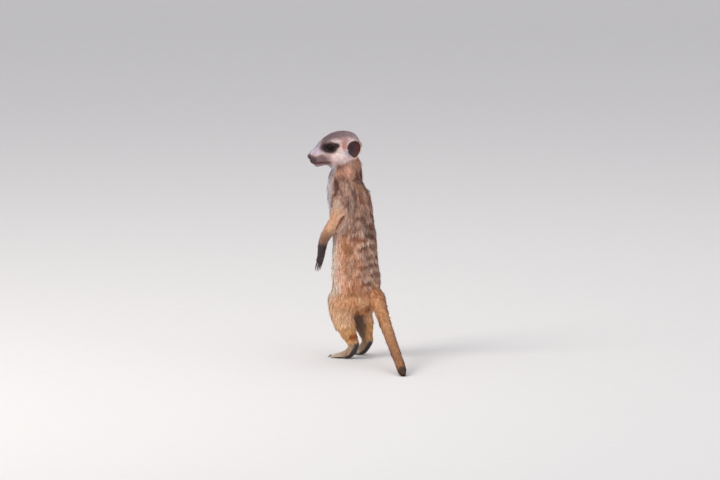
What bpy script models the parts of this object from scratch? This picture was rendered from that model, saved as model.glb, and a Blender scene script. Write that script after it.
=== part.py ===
"""A life-size meerkat standing on watch: hind feet and tail on the floor, forepaws hanging, head turned left.

The body is modelled whole, as tubes and rounded masses fused into one surface that follows the tips of
the coat, and is then parted with thin cuts into the pieces that a person would name. Eyes, nose, ears and
claws are solids of their own, each in a socket a little larger than itself.

Tables and shapes are in millimetres for an animal STANDING_HEIGHT tall, with its trunk facing -Y, its left
side at +X and the floor at Z = 0. The objects are in metres, with the origin at the foot of their box.
"""

import math

import bmesh
import bpy
from mathutils import Matrix, Vector

MM = 0.001
STANDING_HEIGHT = 300.0  # floor to crown, coat included
DESIGN_HEIGHT = 300.2  # the same, as the tables below give it
SCALE = MM * STANDING_HEIGHT / DESIGN_HEIGHT

GAP = 0.3  # between two pieces that touch in life
VOXEL = 1.0
BODY_TRIANGLES = 2600

# The head turns and bows about the middle of the braincase. Its own axes are forward, left and up.
HEAD_CENTRE = Vector((4.0, -20.5, 278.0))
HEAD_TURN = math.radians(45)  # to its left
HEAD_BOW = math.radians(8)

EYE_PLACE, EYE_RADIUS = (17.2, 12.5, 4.8), 5.4
NOSE_PLACE, NOSE_RADII = (45.6, 0.0, -5.4), (4.0, 4.6, 3.9)
EAR_PLACE = (-11.6, 21.6, -1.4)
EAR_HALF_WIDTH, EAR_HALF_HEIGHT, EAR_WALL, EAR_CUP = 9.2, 10.8, 1.7, 3.4
EAR_FORWARD, EAR_LEAN, EAR_SLANT = math.radians(20), math.radians(12), 0.18

DIGITS = 4
PAW_DIGIT, FOOT_DIGIT = 2.35, 2.7  # radii
PAW_CLAW_LENGTH, FOOT_CLAW_LENGTH = 10.0, 6.5
RIGHT_FOOT_REACH = 8.0  # how much farther forward the right foot stands than the left

# Stations of a tube: x, y, z of its axis, half its width along its side axis, half its depth.
TRUNK = (
    (0, 6, 70, 14, 14),
    (0, 5, 77, 22, 22.5),
    (0, 0.2, 87, 29, 29.8),
    (0, -3.3, 106, 31, 32.5),
    (0, -5, 128, 30.2, 29.9),
    (0, -5.8, 154, 28.2, 29.1),
    (0, -9.1, 178, 26, 29.7),
    (0, -13.2, 199, 25.2, 29.7),
    (0, -18.9, 218, 24, 26.6),
    (0, -21, 234, 21.2, 24),
    (0.5, -18.9, 248, 19.2, 21.1),
    (2, -19.2, 260, 18.2, 19.8),
    (3, -19.4, 270, 15.4, 16.6),
)
TAIL = (
    (0, 16, 92, 14, 14),
    (0, 29, 84, 12.2, 12.4),
    (3, 37.6, 74, 9.4, 9.7),
    (14, 52, 60, 8.1, 8.1),
    (37.6, 81, 42, 7.1, 7.1),
    (65.5, 113.1, 24.5, 6.5, 6.5),
    (89.5, 140.5, 11, 6, 6),
    (99.2, 150.9, 5, 5.2, 5.2),
    (103.3, 155.2, 3.1, 3.9, 3.9),
)
# The left limbs; the right ones mirror them.
ARM = (
    (15, -14, 222, 8, 12),
    (21, -12.5, 212, 9.5, 13.5),
    (26.5, -10.5, 200, 8.8, 12),
    (30.5, -11, 189, 7.8, 10),
    (33, -15.5, 179, 7.2, 8.6),
    (34, -22.4, 169.5, 6.6, 7.6),
    (32.8, -30.2, 160, 6.2, 6.8),
    (31.2, -34.9, 150, 5.8, 6.2),
    (30, -37.2, 141.5, 6.4, 5.2),
    (29, -38.9, 134, 6.6, 4.4),
)
LEG = (
    (14, 3, 96, 12, 21),
    (17, -4.4, 85, 13.4, 26),
    (19.5, -9.8, 70, 13, 23.8),
    (20, -9.9, 56, 11.2, 18.3),
    (19.5, -6, 45, 9.6, 15.6),
    (19, -1.4, 35, 8.4, 12.6),
    (18.6, 4.6, 25, 7.2, 8.6),
    (18.4, 8, 19, 6.6, 7.6),
)
FOOT = (
    (18.4, 9, 20, 6.2, 7.2),
    (18.5, 5.6, 12.5, 6.4, 7.2),
    (19.2, -1, 6.1, 7.8, 6.6),
    (20.2, -9, 4.1, 8.4, 4.8),
)
# Forward distance from HEAD_CENTRE, height of the top line, of the lower line, half width.
SKULL = (
    (-19.5, 6, -7, 10.5),
    (-16, 13.4, -13, 16.5),
    (-9, 19.6, -17.5, 20.4),
    (1, 22.2, -20, 21.6),
    (10, 21.4, -20.8, 20.2),
    (18, 18.4, -20.9, 16.6),
    (25, 14, -20.4, 12.8),
    (31.5, 8.9, -19.6, 9.8),
    (38.5, 4.9, -18, 7.8),
    (44, 2.0, -15.4, 6.2),
)
# Rounded masses of the head: forward, left, up, and the three half sizes. Chin and throat are single.
CHEEK = ((7, 12.5, -10.5), (13, 9.5, 8.5))
BROW = ((20, 8.4, 11.2), (8.6, 5.4, 4.8))
WHISKER_PAD = ((38.6, 4.2, -9.8), (7.6, 4.4, 5))
EAR_ROOT = ((-13, 16.6, -2.4), (6.4, 6, 7.4))
CHIN = ((34, 0, -16.8), (8.5, 5.6, 4.4))
THROAT = ((16.5, 0, -20), (8, 9, 5))


def head_matrix():
    """From the head's forward, left and up to the animal's frame."""
    forward = Vector((math.sin(HEAD_TURN), -math.cos(HEAD_TURN), 0))
    left = Vector((math.cos(HEAD_TURN), math.sin(HEAD_TURN), 0))
    turned = Matrix((forward, left, (0, 0, 1))).transposed()
    return Matrix.Translation(HEAD_CENTRE) @ (turned @ Matrix.Rotation(HEAD_BOW, 3, "Y")).to_4x4()


HEAD = head_matrix()


def mirrored(stations, side):
    """The stations of a left limb, on the left for side 1 and on the right for side -1."""
    return [(side * s[0], *s[1:]) for s in stations]


def stepped(stations, side):
    """The stations of a hind limb, reaching farther forward on the right below the knee."""
    reach = RIGHT_FOOT_REACH if side == -1 else 0.0
    return [(x, y - reach * min(1, max(0, (40 - z) / 30)), z, *half) for x, y, z, *half in stations]


def through(stations, steps):
    """Rows on the Catmull-Rom curve through the stations, steps to a span."""
    rows = [Vector(s) for s in stations]
    rows = [2 * rows[0] - rows[1], *rows, 2 * rows[-1] - rows[-2]]
    curve = []
    for a, b, c, d in zip(rows, rows[1:], rows[2:], rows[3:]):
        for k in range(steps):
            t = k / steps
            curve.append(
                0.5 * (2 * b + (c - a) * t + (2 * a - 5 * b + 4 * c - d) * t**2 + (3 * b - a - 3 * c + d) * t**3)
            )
    return [*curve, rows[-2]]


def ring_points(centre, side, depth, half_width, half_depth, sides, squareness):
    """A superellipse: squareness 2 is an ellipse, and more is squarer."""
    points = []
    for k in range(sides):
        c, s = math.cos(math.tau * k / sides), math.sin(math.tau * k / sides)
        across = math.copysign(abs(c) ** (2 / squareness), c) * half_width
        along = math.copysign(abs(s) ** (2 / squareness), s) * half_depth
        points.append(centre + across * side + along * depth)
    return points


def tube(bm, stations, side=(1, 0, 0), sides=24, steps=4, squareness=2.0, grow=0.0, dome=0.8):
    """Adds a closed tube with domed ends. Its rings are wide along side and deep across it."""
    rows = through(stations, steps)
    places = [row.to_3d() if len(row) == 3 else Vector(row[:3]) for row in rows]
    rings = []
    last = len(rows) - 1
    for k, row in enumerate(rows):
        run = (places[min(k + 1, last)] - places[max(k - 1, 0)]).normalized()
        across = Vector(side)
        across = (across - across.dot(run) * run).normalized()
        deep = run.cross(across)
        width, depth = row[3] + grow, row[4] + grow
        caps = []
        if k in (0, last):
            out = -run if k == 0 else run
            for turn in (30, 60):
                small, reach = math.cos(math.radians(turn)), math.sin(math.radians(turn))
                centre = places[k] + out * reach * dome * min(width, depth)
                caps.append((centre, small))
            pole = places[k] + out * dome * min(width, depth)
        body = [ring_points(places[k], across, deep, width, depth, sides, squareness)]
        ends = [ring_points(c, across, deep, width * s, depth * s, sides, squareness) for c, s in caps]
        if k == 0:
            rings += [[pole], *reversed(ends), *body]
        elif k == last:
            rings += [*body, *ends, [pole]]
        else:
            rings += body
    verts = [[bm.verts.new(p) for p in ring] for ring in rings]
    for low, high in zip(verts, verts[1:]):
        for k in range(sides):
            j = (k + 1) % sides
            corners = [low[k % len(low)], low[j % len(low)], high[j % len(high)], high[k % len(high)]]
            bm.faces.new(list(dict.fromkeys(corners)))


def blob(bm, centre, radii, matrix=None, grow=0.0, detail=3):
    """Adds an ellipsoid."""
    scale = Matrix.Diagonal([r + grow for r in radii]).to_4x4()
    place = (matrix or Matrix()) @ Matrix.Translation(centre) @ scale
    bmesh.ops.create_icosphere(bm, subdivisions=detail, radius=1, matrix=place)


def head_station(station):
    """A row of SKULL as a tube station in the animal's frame."""
    forward, top, low, half_width = station
    centre = HEAD @ Vector((forward, 0, (top + low) / 2))
    return (*centre, half_width, (top - low) / 2)


def paired(place, side):
    return (place[0], side * place[1], place[2])


def add_head(bm):
    tube(bm, [head_station(s) for s in SKULL], HEAD.to_3x3() @ Vector((0, 1, 0)), sides=32, squareness=2.25, dome=0.6)
    blob(bm, *CHIN, HEAD)
    blob(bm, *THROAT, HEAD)
    for side in (1, -1):
        for centre, radii in (CHEEK, BROW, WHISKER_PAD, EAR_ROOT):
            blob(bm, paired(centre, side), radii, HEAD)


def paw_digits(side):
    """Root, knuckle and tip of each digit of a forepaw, from the inside out."""
    digits = []
    for k in range(DIGITS):
        across = (k - (DIGITS - 1) / 2) * 3.5
        longer = 1.6 if k in (1, 2) else 0.0
        root = Vector((side * (28.8 + across * 0.8), -39.4, 134.5))
        knuckle = Vector((side * (28.2 + across), -41.5, 129.0 - longer))
        tip = Vector((side * (27.8 + across * 1.05), -42.3, 125.2 - longer))
        digits.append((root, knuckle, tip))
    return digits


def foot_digits(side):
    """The same for a hind foot, whose toes point a little outward."""
    digits = []
    for k in range(DIGITS):
        across = (k - (DIGITS - 1) / 2) * 4.2
        longer = (2.4 if k in (1, 2) else 0.0) + (RIGHT_FOOT_REACH if side == -1 else 0.0)
        root = Vector((side * (20.2 + across * 0.8), -8.0 - longer, 5.0))
        knuckle = Vector((side * (20.8 + across), -15.5 - longer, 3.6))
        tip = Vector((side * (21.2 + across * 1.1), -21.5 - longer, 1.9))
        digits.append((root, knuckle, tip))
    return digits


def claws():
    """Name, root, bend, tip and radius of every claw."""
    found = []
    for side, word in ((1, "left"), (-1, "right")):
        for k, (_, _, tip) in enumerate(paw_digits(side), 1):
            reach = PAW_CLAW_LENGTH
            bend = tip + Vector((0, -2.2, -0.42 * reach))
            point = tip + Vector((0, -3.4, -reach))
            found.append((f"claw_fore_{word}_{k}", tip + Vector((0, 0.2, 1.2)), bend, point, 1.35))
        for k, (_, _, tip) in enumerate(foot_digits(side), 1):
            reach = FOOT_CLAW_LENGTH
            bend = tip + Vector((side * 0.2, -0.55 * reach, 0.9))
            point = tip + Vector((side * 0.4, -reach, -1.3))
            found.append((f"claw_hind_{word}_{k}", tip + Vector((0, 1.4, 0.2)), bend, point, 1.3))
    return found


def add_limbs(bm):
    for side in (1, -1):
        tube(bm, mirrored(ARM, side))
        for root, knuckle, tip in paw_digits(side):
            tube(bm, [(*p, r, r) for p, r in zip((root, knuckle, tip), (2.6, PAW_DIGIT, 2.0))], sides=12)
        tube(bm, mirrored(stepped(LEG, side), side))
        tube(bm, mirrored(stepped(FOOT, side), side))
        for root, knuckle, tip in foot_digits(side):
            tube(bm, [(*p, r, r) for p, r in zip((root, knuckle, tip), (3.2, FOOT_DIGIT, 2.3))], sides=12)


def ear(bm, side, grow=0.0):
    """A cupped leaf, rounder above than below, that faces outward and forward from the side of the head."""
    rings, sides = 3, 18
    turn = Matrix.Rotation(side * (math.radians(90) - EAR_FORWARD), 3, "Z")
    place = HEAD.to_3x3() @ turn @ Matrix.Rotation(side * EAR_LEAN, 3, "X")
    centre = HEAD @ Vector(paired(EAR_PLACE, side))
    half = EAR_WALL / 2 + grow
    layers = []
    for face in (1, -1):
        layer = []
        for ring in range(1, rings + 1):
            r = ring / rings
            row = []
            for k in range(sides):
                a = math.tau * k / sides
                wide = (EAR_HALF_WIDTH + grow) * (1 + 0.18 * math.sin(a))
                up = math.sin(a) * (EAR_HALF_HEIGHT + grow) * r
                across = math.cos(a) * wide * r + EAR_SLANT * up
                thin = half * (1 if r < 1 else 0.45)
                out = EAR_CUP * r * r + face * thin
                row.append(bm.verts.new(centre + place @ Vector((out, across, up))))
            layer.append(row)
        layers.append((bm.verts.new(centre + place @ Vector((face * half, 0, 0))), layer))
    made = []
    for (hub, layer), flip in zip(layers, (False, True)):
        for k in range(sides):
            j = (k + 1) % sides
            made.append(bm.faces.new((hub, layer[0][k], layer[0][j])[:: -1 if flip else 1]))
            for low, high in zip(layer, layer[1:]):
                made.append(bm.faces.new((low[k], high[k], high[j], low[j])[:: -1 if flip else 1]))
    for k in range(sides):
        j = (k + 1) % sides
        front, back = layers[0][1][-1], layers[1][1][-1]
        made.append(bm.faces.new((front[k], back[k], back[j], front[j])))
    bmesh.ops.recalc_face_normals(bm, faces=made)


def small_pieces(grow=0.0):
    """Name, material and a function that adds each small piece to a bmesh, swollen by grow."""
    for side, word in ((1, "left"), (-1, "right")):
        yield f"eye_{word}", "eye", lambda bm, s=side: blob(bm, paired(EYE_PLACE, s), (EYE_RADIUS,) * 3, HEAD, grow)
        yield f"ear_{word}", "ear", lambda bm, s=side: ear(bm, s, grow)
    yield "nose", "nose", lambda bm: blob(bm, NOSE_PLACE, NOSE_RADII, HEAD, grow, 2)
    for name, root, bend, point, radius in claws():
        rows = [(*root, radius, radius), (*bend, radius * 0.75, radius), (*point, 0.45, 0.5)]
        yield name, "claw", lambda bm, r=rows: tube(bm, r, sides=5, steps=1, grow=grow)


def slab(bm, centre, facing, half_sizes, across=(1, 0, 0)):
    """Adds a sheet GAP thick, square to facing. Its half sizes run along across and square to it."""
    out = Vector(facing).normalized()
    first = (Vector(across) - Vector(across).dot(out) * out).normalized()
    turned = Matrix((first, out.cross(first), out)).transposed().to_4x4()
    size = Matrix.Diagonal((2 * half_sizes[0], 2 * half_sizes[1], GAP, 1))
    bmesh.ops.create_cube(bm, size=1, matrix=Matrix.Translation(centre) @ turned @ size)


def head_slab(bm, centre, facing, half_sizes):
    turned = HEAD.to_3x3()
    slab(bm, HEAD @ Vector(centre), turned @ Vector(facing), half_sizes, turned @ Vector((0, 1, 0)))


def add_cuts(bm):
    """The thin cuts that part the body, and the floor."""
    head_slab(bm, (-3, 0, -15.6), (-0.36, 0, -1), (34, 32))  # head from neck
    head_slab(bm, (34.4, 0, -14.8), (-0.06, 0, 1), (21, 17.7))  # mouth
    head_slab(bm, (20, 0, -19.6), (1, 0, 0.45), (22, 6))  # back of the lower jaw
    slab(bm, (0, -18.5, 237.5), (0, 0, 1), (32, 34))  # neck from chest
    slab(bm, (0, -3, 161), (0, 0, 1), (28.6, 36))  # chest from abdomen
    slab(bm, (0, 0, 103), (0, 0, 1), (34, 36))  # abdomen from pelvis
    for side in (1, -1):
        slab(bm, (side * 22.9, -10, 220), (side, 0, -0.18), (15, 30), (0.18 * side, 0, 1))  # shoulder
        slab(bm, (side * 24, -10, 188), (side, 0, 0.16), (20.6, 30), (-0.16 * side, 0, 1))  # arm from chest
        slab(bm, (side * 35.8, -14, 180.8), (side * 0.2, -0.62, -0.78), (12.4, 18))  # elbow
        slab(bm, (side * 30.8, -35.4, 147.5), (0, -0.34, -0.94), (10, 11))  # wrist
        slab(bm, (side * 15.7, -6, 70), (side * 62, 0, -31), (35, 36), (side * 31, 0, 62))  # thigh from pelvis
        slab(bm, (side * 19.5, -5, 45), (0, 0.2, -0.98), (16, 25))  # knee
        slab(bm, (side * 18.5, 6, 22), (0, -0.25, 1), (13, 17))  # ankle
    slab(bm, (1.5, 36, 77), (0.1, 0.95, -0.31), (20, 22))  # tail root
    for low, high, share in ((3, 4, 0.25), (4, 5, 0.95), (6, 7, 0.4)):
        a, b = Vector(TAIL[low][:3]), Vector(TAIL[high][:3])
        slab(bm, a.lerp(b, share), b - a, (13, 13))
    bmesh.ops.create_cube(bm, size=1, matrix=Matrix.Translation((0, 0, -25)) @ Matrix.Diagonal((600, 600, 50, 1)))


# A point inside each piece of the body, by which it is named, and its material.
PIECES = {
    "head": (HEAD @ Vector((4, 0, 0)), "face"),
    "lower_jaw": (HEAD @ Vector((32, 0, -17.4)), "throat"),
    "neck": (Vector((0, -19, 248)), "neck"),
    "chest": (Vector((0, -8, 200)), "back"),
    "abdomen": (Vector((0, 0, 132)), "back"),
    "pelvis": (Vector((0, 5, 84)), "rump"),
    "tail_root": (Vector((12, 50, 62)), "tail"),
    "tail_middle": (Vector((44, 87, 38)), "tail"),
    "tail_end": (Vector((81, 129, 16)), "tail"),
    "tail_tip": (Vector((100, 150, 7)), "tail_tip"),
}
for word, sign in (("left", 1), ("right", -1)):
    PIECES |= {
        f"upper_arm_{word}": (Vector((sign * 27, -10, 204)), "limb"),
        f"forearm_{word}": (Vector((sign * 33, -25, 164)), "limb"),
        f"forepaw_{word}": (Vector((sign * 29, -39, 133)), "paw"),
        f"thigh_{word}": (Vector((sign * 21, -10, 70)), "limb"),
        f"shank_{word}": (Vector((sign * 19, -2, 36)), "limb"),
        f"hind_foot_{word}": (Vector((sign * 19.5, -7, 7)), "paw"),
    }

# Base colour and roughness.
FINISHES = {
    "face": ((0.62, 0.53, 0.45), 0.85),
    "throat": ((0.78, 0.73, 0.68), 0.85),
    "neck": ((0.50, 0.40, 0.31), 0.85),
    "back": ((0.52, 0.38, 0.25), 0.85),
    "rump": ((0.66, 0.47, 0.28), 0.85),
    "limb": ((0.66, 0.48, 0.30), 0.85),
    "paw": ((0.30, 0.24, 0.20), 0.85),
    "tail": ((0.62, 0.41, 0.21), 0.85),
    "tail_tip": ((0.10, 0.06, 0.04), 0.85),
    "eye": ((0.03, 0.015, 0.01), 0.12),
    "ear": ((0.06, 0.035, 0.03), 0.85),
    "nose": ((0.09, 0.06, 0.055), 0.45),
    "claw": ((0.07, 0.055, 0.05), 0.4),
}


def material(slot):
    found = bpy.data.materials.get(slot)
    if found is None:
        found = bpy.data.materials.new(slot)
        found.use_nodes = True
        shader = found.node_tree.nodes["Principled BSDF"]
        shader.inputs["Base Color"].default_value = (*FINISHES[slot][0], 1)
        shader.inputs["Roughness"].default_value = FINISHES[slot][1]
    return found


def add_object(name, bm, slot=None):
    """A named object in metres from a bmesh in millimetres. It empties the bmesh."""
    bmesh.ops.scale(bm, vec=(SCALE,) * 3, verts=bm.verts)
    mesh = bpy.data.meshes.new(name)
    bm.to_mesh(mesh)
    bm.free()
    mesh.shade_smooth()
    made = bpy.data.objects.new(name, mesh)
    bpy.context.scene.collection.objects.link(made)
    if slot:
        mesh.materials.append(material(slot))
    return made


def apply_modifiers(obj):
    bpy.context.view_layer.update()
    mesh = bpy.data.meshes.new_from_object(obj.evaluated_get(bpy.context.evaluated_depsgraph_get()))
    obj.modifiers.clear()
    obj.data = mesh


def weigh(obj, name, weight):
    """A vertex group whose weights are a function of the place in millimetres."""
    group = obj.vertex_groups.new(name=name)
    for vertex in obj.data.vertices:
        group.add([vertex.index], weight(vertex.co / SCALE), "REPLACE")
    return group.name


def fineness(place):
    """1 where the body needs small faces, on the face and digits, falling to 0 on the trunk."""
    forward = (HEAD.inverted() @ place).x
    near_face = min(1.0, max(0.0, (forward + 10) / 20)) if place.z > 255 else 0.0
    near_paws = min(1.0, max(0.0, (146 - place.z) / 8)) if abs(place.x) > 18 and place.y < -31.5 else 0.0
    near_feet = min(1.0, max(0.0, (14 - place.z) / 6)) if place.y < 0 else 0.0
    return max(near_face, near_paws, near_feet)


def fused_body():
    """The whole body as one surface."""
    bm = bmesh.new()
    tube(bm, TRUNK, sides=32)
    tube(bm, TAIL, sides=20)
    add_limbs(bm)
    add_head(bm)
    body = add_object("body", bm)
    fuse = body.modifiers.new("fuse", "REMESH")
    fuse.mode = "VOXEL"
    fuse.voxel_size = VOXEL * SCALE
    apply_modifiers(body)
    soften = body.modifiers.new("soften", "SMOOTH")
    soften.iterations = 14
    soften.factor = 0.5
    soften.vertex_group = weigh(body, "soft", lambda place: 1 - 0.88 * fineness(place))
    apply_modifiers(body)
    thin_out = body.modifiers.new("thin_out", "DECIMATE")
    thin_out.ratio = BODY_TRIANGLES / (2 * len(body.data.polygons))
    apply_modifiers(body)
    return body


def cut(body):
    """Takes the cuts and the sockets out of the body."""
    bm = bmesh.new()
    add_cuts(bm)
    for _, _, add in small_pieces(GAP):
        add(bm)
    cutter = add_object("cutter", bm)
    cutter.hide_render = True
    cutter.display_type = "WIRE"
    part = body.modifiers.new("part", "BOOLEAN")
    part.operation = "DIFFERENCE"
    part.solver = "EXACT"
    part.use_self = True
    part.object = cutter
    apply_modifiers(body)
    bpy.data.objects.remove(cutter)


def islands(bm):
    """The separate bodies of a bmesh, as sets of vertices."""
    left = set(bm.verts)
    while left:
        island, edge = set(), [next(iter(left))]
        while edge:
            vertex = edge.pop()
            if vertex not in island:
                island.add(vertex)
                edge += [e.other_vert(vertex) for e in vertex.link_edges]
        left -= island
        yield island


def split(body):
    """Makes each separate body a named object, by the piece whose named point is nearest its middle."""
    whole = bmesh.new()
    whole.from_mesh(body.data)
    bmesh.ops.scale(whole, vec=(1 / SCALE,) * 3, verts=whole.verts)
    parts = {}
    for island in islands(whole):
        middle = sum((v.co for v in island), Vector()) / len(island)
        name = min(PIECES, key=lambda n: (PIECES[n][0] - middle).length)
        parts.setdefault(name, []).append(island)
    for name, (_, slot) in PIECES.items():
        (island,) = parts[name]
        bm = bmesh.new()
        copies = {v: bm.verts.new(v.co) for v in island}
        for face in {f for v in island for f in v.link_faces}:
            bm.faces.new([copies[v] for v in face.verts])
        add_object(name, bm, slot)
    whole.free()
    bpy.data.objects.remove(body)


def main():
    for obj in list(bpy.data.objects):
        bpy.data.objects.remove(obj)
    body = fused_body()
    cut(body)
    split(body)
    for name, slot, add in small_pieces():
        bm = bmesh.new()
        add(bm)
        add_object(name, bm, slot)
    pieces = list(bpy.data.objects)
    corners = [v.co for obj in pieces for v in obj.data.vertices]
    low = Vector([min(c[k] for c in corners) for k in range(3)])
    high = Vector([max(c[k] for c in corners) for k in range(3)])
    place = bpy.data.objects.new("place", None)
    place.location = (-(low.x + high.x) / 2, -(low.y + high.y) / 2, -low.z)
    bpy.context.scene.collection.objects.link(place)
    for obj in pieces:
        obj.parent = place


main()
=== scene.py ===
"""The looks of the meerkat on watch: skin, coat, ears, eyes, nose, claws, and the studio around it.

The solids of the frame give the outline to the tips of the coat. One skin is fused from them and drawn
in by the coat's depth, and thin flat hairs laid over it bring the outline back. Skin and hairs take
their colours from one set of rules about places on the body. Lengths are in millimetres until a mesh
is made, and those of the studio in metres.
"""

import math

import bmesh
import bpy
import numpy as np
from mathutils import Matrix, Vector
from mathutils.bvhtree import BVHTree
from mathutils.kdtree import KDTree


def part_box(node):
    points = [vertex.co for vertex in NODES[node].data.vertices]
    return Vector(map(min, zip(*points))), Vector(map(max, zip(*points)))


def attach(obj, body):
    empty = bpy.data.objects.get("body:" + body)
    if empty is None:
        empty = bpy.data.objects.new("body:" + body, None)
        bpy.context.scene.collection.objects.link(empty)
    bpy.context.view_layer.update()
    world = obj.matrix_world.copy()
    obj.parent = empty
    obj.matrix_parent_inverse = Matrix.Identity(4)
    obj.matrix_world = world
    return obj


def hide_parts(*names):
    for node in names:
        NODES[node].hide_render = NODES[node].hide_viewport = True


MM = 0.001
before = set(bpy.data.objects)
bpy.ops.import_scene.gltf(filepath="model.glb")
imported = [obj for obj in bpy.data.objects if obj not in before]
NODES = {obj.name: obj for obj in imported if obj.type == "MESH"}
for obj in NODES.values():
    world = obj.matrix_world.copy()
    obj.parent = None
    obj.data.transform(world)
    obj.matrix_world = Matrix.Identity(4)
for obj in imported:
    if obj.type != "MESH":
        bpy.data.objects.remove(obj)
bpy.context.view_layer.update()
CLAWS = [n for n in NODES if n.startswith("claw")]

# ---- driving sizes

VOXEL, EAR_VOXEL = 1.2, 0.42
SEAM_FILL = 0.35  # swells each solid, so that the cuts between them close
LEAST_HEIGHT, LEAST_HAIR_HEIGHT = 0.02, 0.05  # of the skin and the hairs above the ground

HAIRS_ON_BODY, HAIRS_ON_HEAD, HAIRS_ON_EAR = 250000, 105000, 6000
HAIRS_IN_A_PIECE = 62000
TUFT_ON_BODY, TUFT_ON_HEAD, TUFT_ON_EAR = 15, 9, 6  # hairs drawn together
GUARD_HAIRS = 0.06  # the share of longer, darker hairs
ROOT_DEPTH = 0.15  # how far the roots reach into the skin
SKIN_SHADE, EAR_SHADE = 0.8, 0.75  # the skin against the colour of its coat
EAR_BARE = 0.5  # how smooth the skin inside the ear looks
# A hair is a quad and a triangle over five corners: two at its root, two half way along it, and its tip.
HAIR_LOOPS = np.array([0, 1, 2, 3, 3, 2, 4])
HAIR_FACES = np.array([0, 4])

BAKE_PATCH = 0.003  # the width of a hair on the unwrap
SIDE_MARGIN, STRIP_MARGIN = 0.02, 0.04
TURN_WIDTH, STRIP_WIDTH = 1 - 2 * SIDE_MARGIN, 1 - 2 * STRIP_MARGIN

EYE_RADIUS = 5.4
LID = 0.55
EYE_TURN = math.radians(52)  # how far each eye looks out from straight ahead
LID_HALF_WIDTH, LID_HALF_HEIGHT = math.radians(54), math.radians(43)
NO_LID = 9.0  # stands for the opening's measure away from the eyes
EAR_HALF = (9.2, 10.8)  # half the width and height of an ear
CLAW_ROOT_REACH, CLAW_TIP_REACH = 1.6, 1.0  # the lengths that count as a claw's root and tip
CLAW_PLUG, NOSE_PLUG, NOSE_PLUG_BACK = 1.9, 2.9, 1.4  # balls that fill the sockets

SEED = 11

# ---- small helpers


def unit(v):
    """Vectors made one long."""
    v = np.asarray(v, float)
    return v / np.maximum(np.linalg.norm(v, axis=-1, keepdims=True), 1e-9)


def rise(low, high, x):
    """0 up to low, 1 from high on, and a smooth step between them."""
    t = np.clip((np.asarray(x, float) - low) / (high - low), 0, 1)
    return t * t * (3 - 2 * t)


def fall(low, high, x):
    """1 up to low, 0 from high on, and a smooth step between them."""
    return 1 - rise(low, high, x)


def between(low, high, x, soft):
    """1 for x from low to high, fading to 0 over soft outside."""
    return rise(low - soft, low, x) * fall(high, high + soft, x)


def spot(distance, radius, soft):
    """1 inside radius, fading to 0 over soft."""
    return fall(radius, radius + soft, distance)


def nearest_of(places, points):
    """The distance from each place to the nearest of some points."""
    return np.min([np.linalg.norm(places - point, axis=1) for point in points], axis=0)


def srgb(*colour):
    """0 to 255 display values as linear light."""
    c = np.asarray(colour, float) / 255
    return np.where(c <= 0.04045, c / 12.92, ((c + 0.055) / 1.055) ** 2.4)


def mix(a, b, share):
    """The first colour with a share of the second laid over it."""
    return a + (b - a) * np.asarray(share)[..., None]


def layered(colour, *layers):
    """A colour with others laid over it in turn, each with its share."""
    for over, share in layers:
        colour = mix(colour, over, share)
    return colour


def bell(*off):
    """1 where every offset is 0, falling towards 0 round it."""
    return np.exp(-sum(o**2 for o in off))


def lattice(cells, seed):
    """A pseudo-random value from 0 to 1 for each whole-numbered cell."""
    h = np.uint32(seed * 974711)
    for k, factor in enumerate((374761393, 668265263, 2147483647)):
        h = h + cells[..., k].astype(np.uint32) * np.uint32(factor)
    for shift, factor in ((13, 1274126177), (16, 2246822519)):
        h = (h ^ (h >> np.uint32(shift))) * np.uint32(factor)
    return ((h ^ (h >> np.uint32(15))) & np.uint32(0xFFFFFF)).astype(float) / 0xFFFFFF


def noise(places, size, seed, stretch=(1, 1, 1)):
    """Smooth noise from 0 to 1 with features of a size in millimetres, longer along a stretched axis."""
    q = places / (size * np.asarray(stretch, float)) + 1000.0
    cell = np.floor(q).astype(np.int64)
    f = q - cell
    f = f * f * (3 - 2 * f)
    total = 0
    for corner in np.ndindex(2, 2, 2):
        share = np.prod(np.where(np.array(corner) == 1, f, 1 - f), axis=-1)
        total = total + share * lattice(cell + np.array(corner), seed)
    return total


def rough_noise(places, size, seed, stretch=(1, 1, 1)):
    """Noise with finer noise on it."""
    a = noise(places, size, seed, stretch)
    b = noise(places, size / 2.1, seed + 1, stretch)
    c = noise(places, size / 4.3, seed + 2, stretch)
    return (a * 4 + b * 2 + c) / 7


# ---- landmarks, from the frame


def centre(name):
    """The middle of a node's box."""
    low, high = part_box(name)
    return np.array((low + high) / 2) / MM


def corners(name):
    """The lowest and highest corner of a node's box."""
    low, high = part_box(name)
    return np.array(low) / MM, np.array(high) / MM


SIDES = {"left": 1, "right": -1}
EYE_FORWARD, EYE_UP = 17.2, 4.8  # from the middle of the braincase to the eyes
MUZZLE_FALL = math.atan2(10.2, 28.4)  # the nose seen from between the eyes, below straight ahead

between_eyes = (centre("eye_left") + centre("eye_right")) / 2
LEFT = unit(centre("eye_left") - centre("eye_right"))
muzzle = centre("nose") - between_eyes
muzzle = unit(muzzle - muzzle @ LEFT * LEFT)
over_muzzle = np.cross(muzzle, LEFT)
FORWARD = muzzle * math.cos(MUZZLE_FALL) + over_muzzle * math.sin(MUZZLE_FALL)
UP = np.cross(FORWARD, LEFT)
HEAD_AXES = np.stack([FORWARD, LEFT, UP], 1)
HEAD_CENTRE = between_eyes - EYE_FORWARD * FORWARD - EYE_UP * UP

# The middle of the trunk at the heights of its pieces, from the floor up.
SPINE = np.array([centre(n) for n in ("pelvis", "abdomen", "chest", "neck")])
SPINE[:, 0] = (centre("thigh_left")[0] + centre("thigh_right")[0]) / 2


def in_head(places):
    """Forward, left and up from the middle of the braincase."""
    return (places - HEAD_CENTRE) @ HEAD_AXES


def from_head(forward, left, up):
    """A place given from the middle of the braincase."""
    return HEAD_CENTRE + HEAD_AXES @ np.array([forward, left, up], float)


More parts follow.
